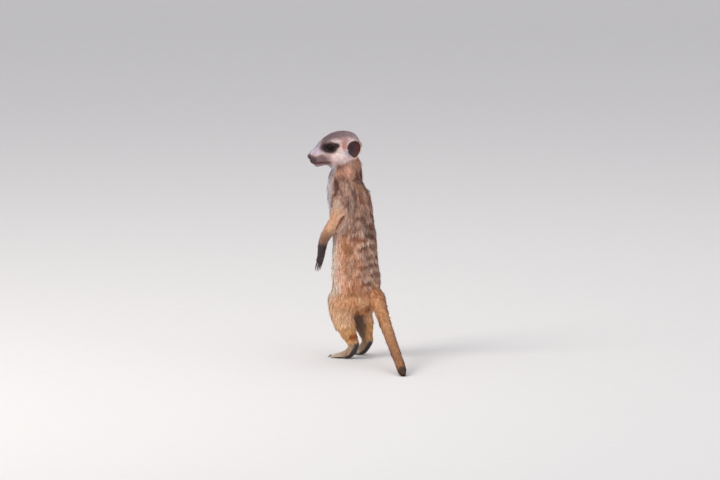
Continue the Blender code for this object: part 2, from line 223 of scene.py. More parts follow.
def round_trunk(places):
    """Degrees round the trunk from the middle of the back, positive on the animal's left."""
    x = np.interp(places[:, 2], SPINE[:, 2], SPINE[:, 0])
    y = np.interp(places[:, 2], SPINE[:, 2], SPINE[:, 1])
    return np.degrees(np.arctan2(places[:, 0] - x, places[:, 1] - y))


# ---- which way the coat lies, and how long it is

ARM, LEG = ("upper_arm", "forearm", "forepaw"), ("thigh", "shank", "hind_foot")
TAIL = ("tail_root", "tail_middle", "tail_end", "tail_tip")
CHAINS = [("nose", "head", "neck", "chest", "abdomen", "pelvis", *TAIL), ("nose", "lower_jaw", "neck")]
for side in SIDES:
    CHAINS.append(("neck", *(f"{name}_{side}" for name in ARM), f"claw_fore_{side}_2"))
    CHAINS.append(("abdomen", *(f"{name}_{side}" for name in LEG), f"claw_hind_{side}_2"))
LIE = {}
for chain in CHAINS:
    for before, name, after in zip(chain, chain[1:], chain[2:]):
        LIE.setdefault(name, unit(centre(after) - centre(before)))
LIE["tail_tip"] = unit(centre("tail_tip") - centre("tail_end"))
FLESH = sorted(LIE)

# Length of the hairs, how far they stand off the skin, how many for the area, how far tufts draw together.
COAT = {
    "head": (3.4, 0.9, 1.0, 0.35),
    "lower_jaw": (3.0, 0.8, 1.0, 0.3),
    "neck": (7.5, 2.4, 1.0, 0.5),
    "chest": (9.5, 2.7, 1.0, 0.62),
    "abdomen": (10.0, 2.8, 1.0, 0.62),
    "pelvis": (9.0, 2.5, 1.0, 0.6),
    "tail_root": (9.0, 2.2, 1.1, 0.5),
    "tail_middle": (8.0, 1.5, 1.2, 0.3),
    "tail_end": (6.8, 1.3, 1.3, 0.25),
    "tail_tip": (4.6, 0.9, 1.7, 0.3),
}
LIMB_COAT = {
    "upper_arm": (5.2, 1.3, 1.2, 0.45),
    "forearm": (5.0, 1.2, 1.3, 0.4),
    "forepaw": (2.2, 0.5, 1.8, 0.15),
    "thigh": (8.0, 2.2, 1.0, 0.55),
    "shank": (5.0, 1.3, 1.2, 0.4),
    "hind_foot": (2.6, 0.55, 1.8, 0.15),
}
for limb, numbers in LIMB_COAT.items():
    for side in SIDES:
        COAT[f"{limb}_{side}"] = numbers

# ---- colours
#
# The numbers in these rules are places: forward and up in the head's frame, heights above the floor, and
# degrees round the trunk from the middle of its back. Each layer lies over those before it.

CROWN = srgb(137, 114, 118)
CROWN_BACK = srgb(160, 140, 142)
BROW = srgb(220, 198, 196)
CHEEK = srgb(246, 216, 212)
CHEEK_BRIGHT = srgb(248, 230, 226)
CHEEK_GREY = srgb(198, 190, 206)
# pale fur on the top of the muzzle, with a painted lavender highlight
MUZZLE = srgb(218, 202, 216)
MUZZLE_SIDE = srgb(128, 96, 99)
WHISKER_BED = srgb(160, 129, 127)
LIP = srgb(126, 84, 82)
CHIN = srgb(182, 155, 160)
NOSE_SKIN = srgb(72, 45, 54)
PATCH = srgb(32, 26, 29)
PATCH_EDGE = srgb(84, 52, 50)
TEMPLE = srgb(166, 124, 122)
SALMON = srgb(194, 132, 112)
THROAT = srgb(205, 193, 197)
NECK = srgb(194, 146, 122)
NECK_PATCH = srgb(232, 178, 154)
# a dark line round the neck, and painted shadow under the jaw
COLLAR_AND_JAW_SHADOW = srgb(138, 96, 82)
NAPE = srgb(112, 76, 64)
UPPER_BACK = srgb(184, 144, 126)
SHOULDER_BLOTCH = srgb(102, 64, 52)
DARK_STREAK = srgb(110, 80, 70)
PALE_STREAK = srgb(206, 174, 154)
BACK = srgb(186, 143, 122)
BAND = srgb(106, 68, 56)
FLANK = srgb(208, 150, 116)
RUST = srgb(146, 86, 54)
OCHRE = srgb(156, 106, 58)
FLECK = srgb(222, 194, 172)
BELLY = srgb(242, 220, 204)
RUMP = srgb(220, 158, 112)
THIGH = srgb(230, 186, 146)
# painted shade in the crease behind the arm
ARM_CREASE_SHADE = srgb(146, 90, 58)
# pale flank fur, made brighter as painted light against the arm's shadow
FLANK_PALE = srgb(252, 208, 184)
# pale rump fur, made paler as painted light against the shade under the tail root
RUMP_PALE = srgb(252, 200, 152)
RUMP_DEEP = srgb(184, 122, 80)
HOCK = srgb(164, 82, 20)
SHANK = srgb(215, 164, 112)
# painted shade on the inner sides of the legs, where they shade each other
INNER_LEG_SHADE = srgb(122, 98, 86)
FOOT = srgb(176, 146, 120)
INSTEP = srgb(232, 216, 200)
SOLE = srgb(72, 60, 60)
UPPER_ARM = srgb(222, 174, 140)
FOREARM = srgb(166, 124, 98)
FOREARM_EDGE = srgb(178, 148, 130)
PAW = srgb(72, 60, 58)
TAIL_TOP = srgb(206, 151, 104)
TAIL_END = srgb(174, 119, 78)
TAIL_TIP = srgb(82, 49, 31)
EAR = srgb(94, 62, 58)
EAR_RUSSET = srgb(96, 37, 21)
EAR_INSIDE = srgb(78, 56, 60)

# Colours of what is bare.
IRIS = srgb(24, 15, 12)
IRIS_RAY = srgb(44, 27, 18)
PUPIL = srgb(8, 7, 8)
EYE_WHITE = srgb(20, 15, 15)
EYE_BACK = srgb(30, 22, 22)
LID_RIM = srgb(22, 17, 18)
LIP_SKIN = srgb(58, 40, 40)
NOSTRIL = srgb(18, 12, 14)
NOSE_TOP = srgb(108, 84, 88)
CLAW_ROOT = srgb(52, 42, 40)
CLAW_TIP = srgb(122, 104, 92)
WHISKER = srgb(96, 80, 76)
FLOOR_DARK = (0.66, 0.64, 0.63, 1)
FLOOR_PALE = (0.69, 0.67, 0.66, 1)

# Marks of the trunk, among them a painted shadow under the jaw and painted light on the rump: height, degrees
# round from the middle of the back, half height, half width in degrees, strength, colour. Each is on both
# sides.
MARKS = (
    (228, 94, 11, 11, 0.95, SHOULDER_BLOTCH),
    (241, 74, 4, 16, 0.75, COLLAR_AND_JAW_SHADOW),
    # painted shadow under the jaw
    (254, 84, 5, 34, 0.9, COLLAR_AND_JAW_SHADOW),
    (229, 56, 9, 6, 0.6, PALE_STREAK),
    (250, 44, 7, 14, 0.95, NECK_PATCH),
    (243, 9, 12, 10, 0.9, NAPE),
    (217, 36, 12, 10, 0.9, DARK_STREAK),
    (214, 18, 7, 8, 0.85, RUST),
    (227, 14, 5, 9, 0.7, OCHRE),
    (203, 64, 8, 5, 0.6, DARK_STREAK),
    (198, 44, 9, 5, 0.6, DARK_STREAK),
    (194, 84, 16, 18, 0.8, FLECK),
    (178, 88, 9, 12, 0.75, FLECK),
    (183, 20, 3.5, 10, 0.85, BAND),
    (175, 24, 3, 9, 0.6, FLECK),
    (167, 8, 3, 15, 0.85, BAND),
    (166, 72, 3, 12, 0.8, RUST),
    (163, 50, 3.2, 14, 0.9, RUST),
    (159, 26, 3.4, 12, 0.9, RUST),
    (150, 77, 8, 11, 0.7, OCHRE),
    (146, 50, 4.5, 5, 0.85, FLECK),
    (133, 62, 5, 5, 0.7, FLECK),
    (124, 40, 5, 7, 0.65, RUST),
    (102, 66, 4, 6, 0.7, RUST),
    (103, 38, 4, 6, 0.75, RUST),
    (95, 12, 4, 8, 0.65, RUST),
    (90, 78, 7, 13, 0.6, RUST),
    # pale rump, partly painted light against the shade under the tail root
    (77, 46, 8, 24, 0.85, RUMP_PALE),
    (89, 8, 9, 18, 0.75, RUMP_DEEP),
)


def eye_patch(head):
    """The dark patch round the eye at places in the head's frame, from 0 to 1, and the same for its core."""
    s, up = head[:, 0], head[:, 2]
    blob = np.hypot((s - 21.8) / 11.8, (up - 4.4 - 0.1 * (s - 21.2)) / 8.2)
    root, tip = np.array([18.0, 5.4]), np.array([10.8, 6.4])
    length = np.linalg.norm(tip - root)
    along = (tip - root) / length
    rel = head[:, [0, 2]] - root
    t = np.clip(rel @ along / length, 0, 1)
    off = np.linalg.norm(rel - np.outer(t * length, along), axis=1)
    tail = off / (6.2 - 2.0 * t) + 0.2 * t**3
    reach = -np.log(np.exp(-7 * blob) + np.exp(-7 * tail)) / 7
    ripple = 0.16 * (rough_noise(head, 3.2, 35) - 0.5)
    core = np.maximum(fall(0.3, 0.9, blob + ripple), 0.5 * fall(0.3, 0.8, tail + ripple))
    return fall(0.64, 1.2, reach + ripple), core


def face_colour(places):
    """Pale cheeks and brows, grey crown and muzzle with a painted highlight on its top, painted shade low on
    the back of the head, and the dark of eyes, lips and nose.
    """
    head = in_head(places)
    s, side, up = head.T
    wide = np.abs(side)
    ripple = rough_noise(places, 5, 31) - 0.5
    fine = rough_noise(places, 1.8, 33) - 0.5
    level = up + 2.4 * ripple

    def lies_near(forward, high, radius, soft):
        return spot(np.hypot(s - forward, up - high) + 2.5 * ripple, radius, soft)

    top = rise(12.0, 17.0, level + 0.42 * np.maximum(s - 16, 0) + 0.2 * np.maximum(-s - 2, 0))
    top *= 1 - 0.75 * rise(25, 33, s)
    stripe = np.hypot((s - 2.4) / 0.9, (up - 5.8) / 1.9) + 2.5 * ripple
    mouth = lip_height(s)
    nose = np.hypot((s - 45.0) * 0.8, (up + 8.6) * 0.85) + 1.5 * ripple
    inside, core = eye_patch(head)
    on_side = rise(4.5, 7.5, wide)
    colour = layered(
        CHEEK,
        (CHEEK_BRIGHT, lies_near(8, -3.4, 2, 6) * 0.8),
        (CHEEK_GREY, lies_near(-1.5, -4.2, 2.5, 5) * 0.9),
        (BROW, between(5, 20, s + 2 * ripple, 4) * rise(7, 9.5, level)),
        (MUZZLE_SIDE, rise(15, 28, s) * fall(-9, -1, level) * 0.85),
        (WHISKER_BED, lies_near(33.5, -7.4, 2.5, 4) * 0.8),
        # the top of the muzzle: pale fur with a painted highlight
        (MUZZLE, rise(27, 32, s) * rise(-5, 0.5, level)),
        (mix(CROWN, CROWN_BACK, fall(-14, 4, s)), top),
        (CROWN_BACK, fall(-17, -9, s) * rise(-4, 4, level) * 0.8),
        (SALMON, spot(stripe, 1.6, 4.6) * 0.85),
        (TEMPLE, lies_near(-1.0, 11.4, 1.6, 3.6) * 0.7),
        (TEMPLE, between(0, 7, s, 4) * between(13.6, 15.5, level, 2) * 0.4),
        (CHIN, rise(0, 1.6, mouth - up) * rise(19, 23, s)),
        (LIP, between(22, 43, s, 3) * spot(np.abs(up - mouth) + 0.8 * ripple, 0.9, 1.5) * 0.85),
        (NOSE_SKIN, spot(nose, 2.8, 4.0) * 0.85),
        (NOSE_SKIN, spot(wide, 0.8, 1.6) * between(36, 44, s, 4) * rise(-2, 1, up) * 0.5),
        # painted shade: a darker copy of the cheek colour low on the head behind the muzzle
        (CHEEK * 0.86, rise(15, 19, -up) * fall(14, 20, s) * 0.2),
        (PATCH_EDGE, inside * on_side),
        (PATCH, core * on_side),
    )
    return colour * (1 + 0.2 * ripple + 0.22 * fine)[:, None]


def lip_height(s):
    """The height of the line of the mouth along the muzzle."""
    return -14.7 + 0.06 * (s - 34.4)


def trunk_colour(places):
    """Back with broken cross bands, flanks with rusty and pale mottling, white throat and pale belly."""
    around = np.abs(round_trunk(places))
    z = places[:, 2]
    ripple = rough_noise(places, 9, 41) - 0.5
    tufts = rough_noise(places, 3.4, 45, (1, 1, 2.4)) - 0.5
    turn = around + 26 * ripple + 14 * tufts
    patches = rise(0.5, 0.68, rough_noise(places, 8.5, 51, (1, 1, 1.5)))
    rusty = between(36, 116, turn, 12) * between(76, 168, z, 14)
    flecks = rise(0.56, 0.7, rough_noise(places, 5.4, 55, (1, 1, 1.6)))
    streaks = rise(0.46, 0.66, rough_noise(places, 4.6, 61, (1, 1, 3.2)))

    spacing = 7.8 + 0.014 * z
    wave = np.sin(math.tau * (z + 0.07 * around + 5.5 * ripple) / spacing)
    banded = between(90, 188, z, 10) * fall(28, 50, turn)
    broken = rise(0.26, 0.5, noise(places, 7, 47))
    faint = between(90, 176, z, 10) * between(40, 72, turn, 12)
    colour = layered(
        FLANK,
        (UPPER_BACK, rise(156, 172, z + 12 * ripple)),
        (BACK, fall(26, 50, turn) * rise(76, 92, z) * 0.85),
        (NECK, rise(228, 242, z + 4 * ripple)),
        (RUST, patches * rusty * 0.5),
        (FLECK, flecks * between(20, 116, turn, 10) * between(84, 215, z, 12) * 0.5),
        (DARK_STREAK, streaks * between(174, 236, z, 10) * fall(104, 118, turn) * 0.6),
        (BAND, rise(0.0, 0.7, wave + 1.5 * tufts) * banded * broken * 0.8),
        (FLECK, rise(0.2, 0.9, 1.3 * tufts - wave) * banded * 0.6),
        (RUST, rise(0.2, 0.8, wave + 1.8 * tufts) * faint * broken * 0.5),
        (RUMP, fall(72, 112, z + 14 * ripple) * 0.9),
    )
    for height, middle, tall, half_turn, strength, over in MARKS:
        off = np.hypot((z - height + 3 * ripple) / tall, (around - middle + 10 * ripple) / half_turn)
        colour = mix(colour, over, fall(0.45, 1.35, off + 0.9 * tufts) * strength)
    pale_from = np.interp(z, [190, 238, 252, 262], [0, -8, 13, 16])
    pale = rise(98, 124, around + pale_from + 8 * ripple + 12 * tufts)
    edge = rise(80, 102, around + 8 * ripple + 12 * tufts) * between(92, 178, z, 12)
    belly = mix(BELLY, THROAT, rise(128, 214, z))
    colour = layered(colour, (FLANK_PALE, edge * 0.6), (belly, pale * rise(58, 80, z)))
    return colour * (1 + 0.5 * tufts + 0.12 * ripple)[:, None]


def limb_colours(places, normals):
    """The colour of each kind of limb node at each place, with painted shade on the inner sides of the legs.
    """
    ripple = rough_noise(places, 6, 71) - 0.5
    tufts = rough_noise(places, 3.0, 73, (1, 1, 2.2)) - 0.5
    z = places[:, 2]
    trunk = trunk_colour(places)

    front = centre("forearm_left")[1] - places[:, 1]
    arm = layered(
        UPPER_ARM,
        (FOREARM_EDGE * 0.8, rise(6, 13, front - 0.55 * (z - 150))),
        (trunk, rise(192, 208, z + 8 * ripple)),
    )
    wrist = corners("forepaw_left")[1][2]
    forearm = layered(
        FOREARM,
        (FOREARM_EDGE, rise(1, 9, front) * 0.6),
        (UPPER_ARM, rise(160, 178, z + 6 * ripple)),
        (PAW, fall(wrist - 2, wrist + 12, z + 8 * ripple)),
    )
    paw = mix(PAW, PAW * 0.7, fall(118, 134, z))

    ahead = centre("thigh_left")[1] - places[:, 1]
    # Painted shade: the inner, forward-facing sides of the legs below the hips are darkened where the legs
    # shade each other.
    inward = -np.sign(places[:, 0] - SPINE[0, 0]) * normals[:, 0]
    inner_leg_shade = rise(0.05, 0.45, 0.62 * inward - 0.79 * normals[:, 1]) * rise(0, 0.3, inward)
    inner_leg_shade = inner_leg_shade * fall(58, 76, z)
    thigh = layered(
        THIGH,
        (BELLY, rise(9, 25, ahead) * 0.85),
        (RUMP, fall(-22, -8, ahead)),
        (trunk, rise(74, 92, z + 8 * ripple) * 0.7),
        (RUMP * 0.85, between(70, 96, z, 8) * fall(2, 15, ahead) * 0.6),
        (INNER_LEG_SHADE, inner_leg_shade * 0.85),
    )
    calf = places[:, 1] - centre("shank_left")[1]
    out = np.abs(places[:, 0] - SPINE[0, 0]) - abs(centre("shank_left")[0] - SPINE[0, 0])
    hock = spot(np.sqrt((z - 30) ** 2 + (calf - 11) ** 2 + (out - 1) ** 2) + 3 * ripple, 2.4, 5.0)
    shank = layered(
        SHANK,
        (INSTEP, rise(4, 12, -calf) * 0.5),
        (HOCK, hock * np.where(places[:, 0] > SPINE[0, 0], 0.95, 0.4)),
        (INNER_LEG_SHADE, inner_leg_shade * rise(16, 30, z) * 0.8),
        (FOOT, fall(14, 26, z + 4 * ripple)),
    )
    foot = mix(FOOT, INSTEP, fall(-10, 4, calf) * 0.65)
    shade = (1 + 0.42 * tufts + 0.14 * ripple)[:, None]
    shaded = {"forearm": forearm, "forepaw": paw, "thigh": thigh, "shank": shank, "hind_foot": foot}
    return {"upper_arm": arm, **{name: colour * shade for name, colour in shaded.items()}}


def tail_colour(places):
    """Tan, darker towards the end, with a dark tip."""
    start, end = centre("tail_root"), centre("tail_tip")
    along = np.clip((places - start) @ unit(end - start) / np.linalg.norm(end - start), 0, 1.2)
    ripple = rough_noise(places, 6, 81) - 0.5
    streak = rough_noise(places, 3, 83) - 0.5
    colour = mix(TAIL_TOP, TAIL_END, rise(0.12, 0.85, along))
    colour = mix(colour, TAIL_TIP, rise(0.9, 1.01, along + 0.1 * ripple))
    return colour * (1 + 0.42 * streak)[:, None]


def coat_colour(places, normals, weights):
    """The colour of the coat at each place, in linear light. weights holds the share of each flesh node."""
    share = {name: weights[:, k] for k, name in enumerate(FLESH)}
    head = share["head"] + share["lower_jaw"]
    forward, _, up = in_head(places).T
    on_face = rise(-20.5, -16.5, up + 8 * rise(17, 24, forward) + rough_noise(places, 5, 91))
    trunk = share["neck"] + share["chest"] + share["abdomen"] + share["pelvis"] + head * (1 - on_face)
    tail = sum(share[n] for n in FLESH if n.startswith("tail"))
    total = face_colour(places) * (head * on_face)[:, None]
    total += trunk_colour(places) * trunk[:, None]
    total += tail_colour(places) * tail[:, None]
    for limb, colour in limb_colours(places, normals).items():
        total += colour * (share[f"{limb}_left"] + share[f"{limb}_right"])[:, None]
    total = mix(arm_crease(places, total), SOLE, bare(places, normals, weights))
    return np.clip(total, 0.002, 0.95)


def arm_crease(places, colour):
    """Painted shade in the crease down the back of each arm from the armpit. Behind it are a pale strip of
    flank and a pale armpit, partly pale fur and partly painted light where the arm shades the flank.
    """
    z = places[:, 2]
    out = np.abs(places[:, 0] - SPINE[0, 0])
    behind = 0.79 * (places[:, 1] - centre("chest")[1]) - 0.62 * out + 10.7 + 0.62 * (191 - z)
    ripple = 1.2 * (rough_noise(places, 3, 95) - 0.5)
    beside = rise(20, 25, out) * fall(32.5, 36.5, out)
    # Pale fur behind the crease and in the armpit, made paler as painted light where the arm shades the
    # flank.
    strip = between(2.5, 9, behind + 3 * ripple, 2.5) * between(166, 194, z, 6) * beside
    # painted shade along the crease behind the arm
    line = between(-1.3, 1.3, behind + ripple, 1.0) * between(173, 191, z, 3) * beside
    armpit = spot(np.hypot((z - 196) / 9, behind / 6), 0.5, 0.7) * beside
    pale = np.maximum(strip * 0.9, armpit * 0.6)
    return layered(colour, (FLANK_PALE, pale), (ARM_CREASE_SHADE, line * 0.95))


def bare(places, normals, weights):
    """1 on the bare soles of the feet and palms of the paws, 0 elsewhere."""
    share = {name: weights[:, k] for k, name in enumerate(FLESH)}
    foot = share["hind_foot_left"] + share["hind_foot_right"]
    paw = share["forepaw_left"] + share["forepaw_right"]
    heel = rise(0.35, 0.75, normals[:, 1] - 0.45 * normals[:, 2])
    under = rise(0.35, 0.7, -normals[:, 2])
    palm = rise(0.4, 0.8, normals[:, 1])
    return np.clip(rise(0.5, 0.9, foot) * np.maximum(heel, under) + rise(0.7, 1, paw) * palm, 0, 1)


# ---- meshes


def new_object(name, mesh):
    made = bpy.data.objects.new(name, mesh)
    bpy.context.scene.collection.objects.link(made)
    return made


def remade(mesh, *modifiers):
    """A mesh as some modifiers leave it. Each is given by its kind and its settings."""
    rough = new_object("rough", mesh)
    for kind, settings in modifiers:
        made = rough.modifiers.new(kind, kind)
        for key, value in settings.items():
            setattr(made, key, value)
    bpy.context.view_layer.update()
    mesh = bpy.data.meshes.new_from_object(rough.evaluated_get(bpy.context.evaluated_depsgraph_get()))
    bpy.data.objects.remove(rough)
    return mesh


def read(items, field, width, kind=np.float32):
    """A row of numbers for each of a mesh's vertices, edges or faces."""
    flat = np.empty(len(items) * width, kind)
    items.foreach_get(field, flat)
    return flat.reshape(-1, width)


def vertices(mesh):
    return read(mesh.vertices, "co", 3).astype(float) / MM


def set_vertices(mesh, places):
    mesh.vertices.foreach_set("co", (places * MM).astype(np.float32).ravel())
    mesh.update()


def vertex_normals(mesh):
    return read(mesh.vertex_normals, "vector", 3).astype(float)


def edges_of(mesh):
    return read(mesh.edges, "vertices", 2, np.int32)


def spread(values, edges, rounds, share=0.5):
    """Averages each vertex's values with its neighbours'."""
    ends, others = np.concatenate([edges, edges[:, ::-1]]).T
    count = np.maximum(np.bincount(ends, minlength=len(values)), 1)[:, None]
    share = np.broadcast_to(np.asarray(share, float).reshape(-1, 1), (len(values), 1))
    for _ in range(rounds):
        near = [np.bincount(ends, column[others], len(values)) for column in values.T]
        values = values + share * (np.stack(near, 1) / count - values)
    return values


def relax(places, edges, rounds, share=1.0):
    """Smooths places without shrinking the shape: each step in is undone by a slightly larger step out."""
    for _ in range(rounds):
        for step in (0.5, -0.515):
            places = spread(places, edges, 1, step * share)
    return places


def add_ball(bm, place, radius, subdivisions=3):
    matrix = Matrix.Translation([c * MM for c in place]) @ Matrix.Scale(radius * MM, 4)
    bmesh.ops.create_icosphere(bm, subdivisions=subdivisions, radius=1, matrix=matrix)


def ball_mesh(name, make, **sizes):
    """A ball of radius 1, made by one of bmesh's operators."""
    mesh = bpy.data.meshes.new(name)
    bm = bmesh.new()
    make(bm, radius=1, **sizes)
    bm.to_mesh(mesh)
    bm.free()
    return mesh


def node_bmesh(name, swell=0.0):
    """A copy of a solid as one closed bmesh, swollen along its normals."""
    bm = bmesh.new()
    bm.from_mesh(NODES[name].data)
    bmesh.ops.remove_doubles(bm, verts=bm.verts, dist=1e-6)
    bmesh.ops.recalc_face_normals(bm, faces=bm.faces)
    bm.normal_update()
    for vertex, normal in [(v, v.normal.copy()) for v in bm.verts]:
        vertex.co += normal * swell * MM
    return bm


def joined(parts):
    """One mesh from several bmeshes, which are freed."""
    mesh = bpy.data.meshes.new("joined")
    whole = bmesh.new()
    for part in parts:
        part.to_mesh(mesh)
        part.free()
        whole.from_mesh(mesh)
    whole.to_mesh(mesh)
    whole.free()
    return mesh


def claw_ends():
    """The middle of the thick end and of the tip of each claw."""
    for name in sorted(CLAWS):
        co = vertices(NODES[name].data)
        reach = co[:, 2 if "fore" in name else 1]
        root = co[reach > reach.max() - CLAW_ROOT_REACH].mean(0)
        yield root, co[reach < reach.min() + CLAW_TIP_REACH].mean(0)


def fuse_flesh():
    """All nodes of flesh as one surface, with the sockets of eyes, claws and nose filled."""
    parts = [node_bmesh(name, SEAM_FILL) for name in FLESH]
    plugs = bmesh.new()
    for root, _ in claw_ends():
        add_ball(plugs, root, CLAW_PLUG)
    add_ball(plugs, centre("nose") - NOSE_PLUG_BACK * FORWARD, NOSE_PLUG)
    for side in SIDES:
        add_ball(plugs, centre(f"eye_{side}"), EYE_RADIUS + LID, 4)
    return remade(joined([*parts, plugs]), ("REMESH", {"mode": "VOXEL", "voxel_size": VOXEL * MM}))


def nearest_nodes(places):
    """The index in FLESH of the solid nearest each place."""
    points, faces, owner = [], [], []
    for k, name in enumerate(FLESH):
        mesh = NODES[name].data
        start = len(points)
        points += [tuple(v.co) for v in mesh.vertices]
        faces += [[start + i for i in p.vertices] for p in mesh.polygons]
        owner += [k] * len(mesh.polygons)
    tree = BVHTree.FromPolygons(points, faces)
    return np.array([owner[tree.find_nearest(tuple(p))[2]] for p in places * MM])


def subdivide_head(mesh):
    """Halves the faces of the head, where the finest shapes are."""
    bm = bmesh.new()
    bm.from_mesh(mesh)
    chosen = []
    for face in bm.faces:
        forward, _, up = in_head(np.array(face.calc_center_median())[None] / MM)[0]
        if forward > -24 and up > -24:
            chosen.append(face)
    edges = list({e for f in chosen for e in f.edges})
    bmesh.ops.subdivide_edges(bm, edges=edges, cuts=1, use_grid_fill=True)
    bm.to_mesh(mesh)
    bm.free()


def eye_axes(side):
    """An eye's line of sight, the way from it towards the ear, and up."""
    sign = SIDES[side]
    look = HEAD_AXES @ unit([math.cos(EYE_TURN), sign * math.sin(EYE_TURN), 0.1])
    up = unit(UP - UP @ look * look)
    return look, np.cross(up, look) * sign, up


def lid_shape(places, side):
    """For places near an eye: the way and distance from its middle, and angles from its line of sight."""
    look, back, up = eye_axes(side)
    rel = places - centre(f"eye_{side}")
    reach = np.linalg.norm(rel, axis=1)
    way = rel / np.maximum(reach, 1e-6)[:, None]
    ahead = way @ look
    across = np.arctan2(way @ back, ahead)
    high = np.arctan2(way @ up, np.hypot(ahead, way @ back))
    return way, reach, across, high, ahead


def lid_opening(across, high):
    """Less than 1 inside the almond-shaped opening between the lids, 1 on its rim."""
    droop = high + 0.10 * across
    height = LID_HALF_HEIGHT * (1 - 0.35 * np.abs(across / LID_HALF_WIDTH) ** 2)
    return np.hypot(across / LID_HALF_WIDTH, droop / np.maximum(height, 0.1))


def shape_eyes(places):
    """Wraps lids round the eyes and opens them."""
    for side in SIDES:
        way, reach, across, high, ahead = lid_shape(places, side)
        opening = lid_opening(across, high)
        near = (ahead > -0.1) & (reach < EYE_RADIUS + 5)
        lid = EYE_RADIUS + LID + 0.35 * bell((opening - 1.12) / 0.12)
        target = np.where(opening < 1.0, EYE_RADIUS - 0.9, lid)
        soft = fall(1.05, 1.75, opening)
        moved = centre(f"eye_{side}") + way * (reach + (target - reach) * soft)[:, None]
        places = np.where(near[:, None], moved, places)
    return places


def shape_face(places, normals):
    """The line of the mouth, a fuller upper lip and the groove below the nose."""
    s, side, up = in_head(places).T
    off = up - lip_height(s)
    mouth = between(21, 42.5, s, 2.0) * bell(off / 0.75)
    upper_lip = between(24, 41, s, 4) * bell((off - 2.0) / 1.1)
    groove = rise(42, 45, s) * bell(side / 0.7) * between(-14, -9, up, 0.8)
    push = -0.95 * mouth + 0.3 * upper_lip - 0.5 * groove
    return places + normals * push[:, None]


def smooth_body(places, edges):
    """Rounds off the creases between solids, least on the face, paws and feet, most at hips and throat."""
    _, y, z = places.T
    forward, _, up = in_head(places).T
    face = rise(-26, -16, up) * rise(-12, 6, forward)
    paws = (y < corners("forepaw_left")[1][1]) & (z < 140) & (z > 100)
    keep = spread(np.maximum(face, (z < 12) | paws)[:, None], edges, 6)
    places = relax(places, edges, 40, 1 - keep * 0.97)
    places = relax(places, edges, 3)
    places = spread(places, edges, 70, 0.5 * between(92, 116, places[:, 2], 14))
    forward, _, up = in_head(places).T
    throat = between(12, 34, forward, 5) * between(-28, -18.5, up, 2.0)
    return spread(places, edges, 40, 0.5 * throat)


def coat_depth(places, edges):
    """How deep the skin lies under the tips of the coat, least on the muzzle and round the eyes."""
    weights = np.eye(len(FLESH))[nearest_nodes(places)]
    depth = spread(weights, edges, 12) @ np.array([COAT[n][1] for n in FLESH])
    forward, _, up = in_head(places).T
    depth *= 1 - 0.45 * rise(8, 30, forward) * rise(-24, -18, up)
    depth = spread(depth[:, None], edges, 6)[:, 0]
    to_eye = nearest_of(places, [centre(f"eye_{side}") for side in SIDES])
    return depth * (rise(EYE_RADIUS, EYE_RADIUS + 4, to_eye) * 0.85 + 0.15)


def build_skin():
    """The surface of the flesh: smoothed, drawn in by the coat's depth, with lids and a mouth."""
    mesh = fuse_flesh()
    edges = edges_of(mesh)
    places = smooth_body(vertices(mesh), edges)
    set_vertices(mesh, places)
    depth = coat_depth(places, edges)
    places = places - vertex_normals(mesh) * (depth + SEAM_FILL * 0.6)[:, None]
    places = relax(places, edges, 2)
    places[:, 2] = np.maximum(places[:, 2], LEAST_HEIGHT)
    set_vertices(mesh, places)

    subdivide_head(mesh)
    places = vertices(mesh)
    on_head = rise(-24, -20, in_head(places)[:, 2])[:, None]
    places = relax(places, edges_of(mesh), 2, on_head)
    set_vertices(mesh, places)
    set_vertices(mesh, shape_face(shape_eyes(places), vertex_normals(mesh)))
    return mesh


# ---- fields over the skin


def along_skin(ways, normals):
    """The part of each direction that lies along the skin."""
    return ways - (ways * normals).sum(1)[:, None] * normals


class Fields:
    """What the coat needs to know at each vertex of a skin."""

    def __init__(self, mesh):
        self.mesh = mesh
        self.places = vertices(mesh)
        self.normals = vertex_normals(mesh)
        self.colour = None  # worked out for each hair
        edges = edges_of(mesh)
        owners = np.eye(len(FLESH))[nearest_nodes(self.places)]
        self.weights = spread(owners, edges, 5)
        wide = spread(owners, edges, 16)
        numbers = np.array([COAT[n] for n in FLESH]).T
        self.length, self.lift, self.density, self.pull = (wide @ row for row in numbers)
        lie = wide @ np.array([LIE[n] for n in FLESH])
        for _ in range(8):
            lie = spread(unit(along_skin(lie, self.normals)), edges, 5)
        self.lie = unit(along_skin(lie, self.normals))
        forward, _, up = in_head(self.places).T
        head_nodes = [FLESH.index("head"), FLESH.index("lower_jaw")]
        self.on_head = rise(-25, -20, up) * self.weights[:, head_nodes].sum(1)
        short = 1.3 + 3.4 * fall(-6, 30, forward)
        self.length = self.length * (1 - self.on_head) + short * self.on_head
        self.lift = np.minimum(self.lift, self.length * 0.34)
        self.bare = bare(self.places, self.normals, self.weights)
        self.rim = np.full(len(self.places), NO_LID)
        for side in SIDES:
            _, reach, across, high, ahead = lid_shape(self.places, side)
            near = (ahead > 0.05) & (reach < EYE_RADIUS + 3)
            self.rim = np.minimum(self.rim, np.where(near, lid_opening(across, high), NO_LID))


def paint(mesh, colours):
    """Gives each vertex its colour, in the attribute that the materials read."""
    layer = mesh.color_attributes.new("coat", "FLOAT_COLOR", "POINT")
    data = np.concatenate([colours, np.ones((len(colours), 1))], 1)
    layer.data.foreach_set("color", data.astype(np.float32).ravel())


# ---- unwrap


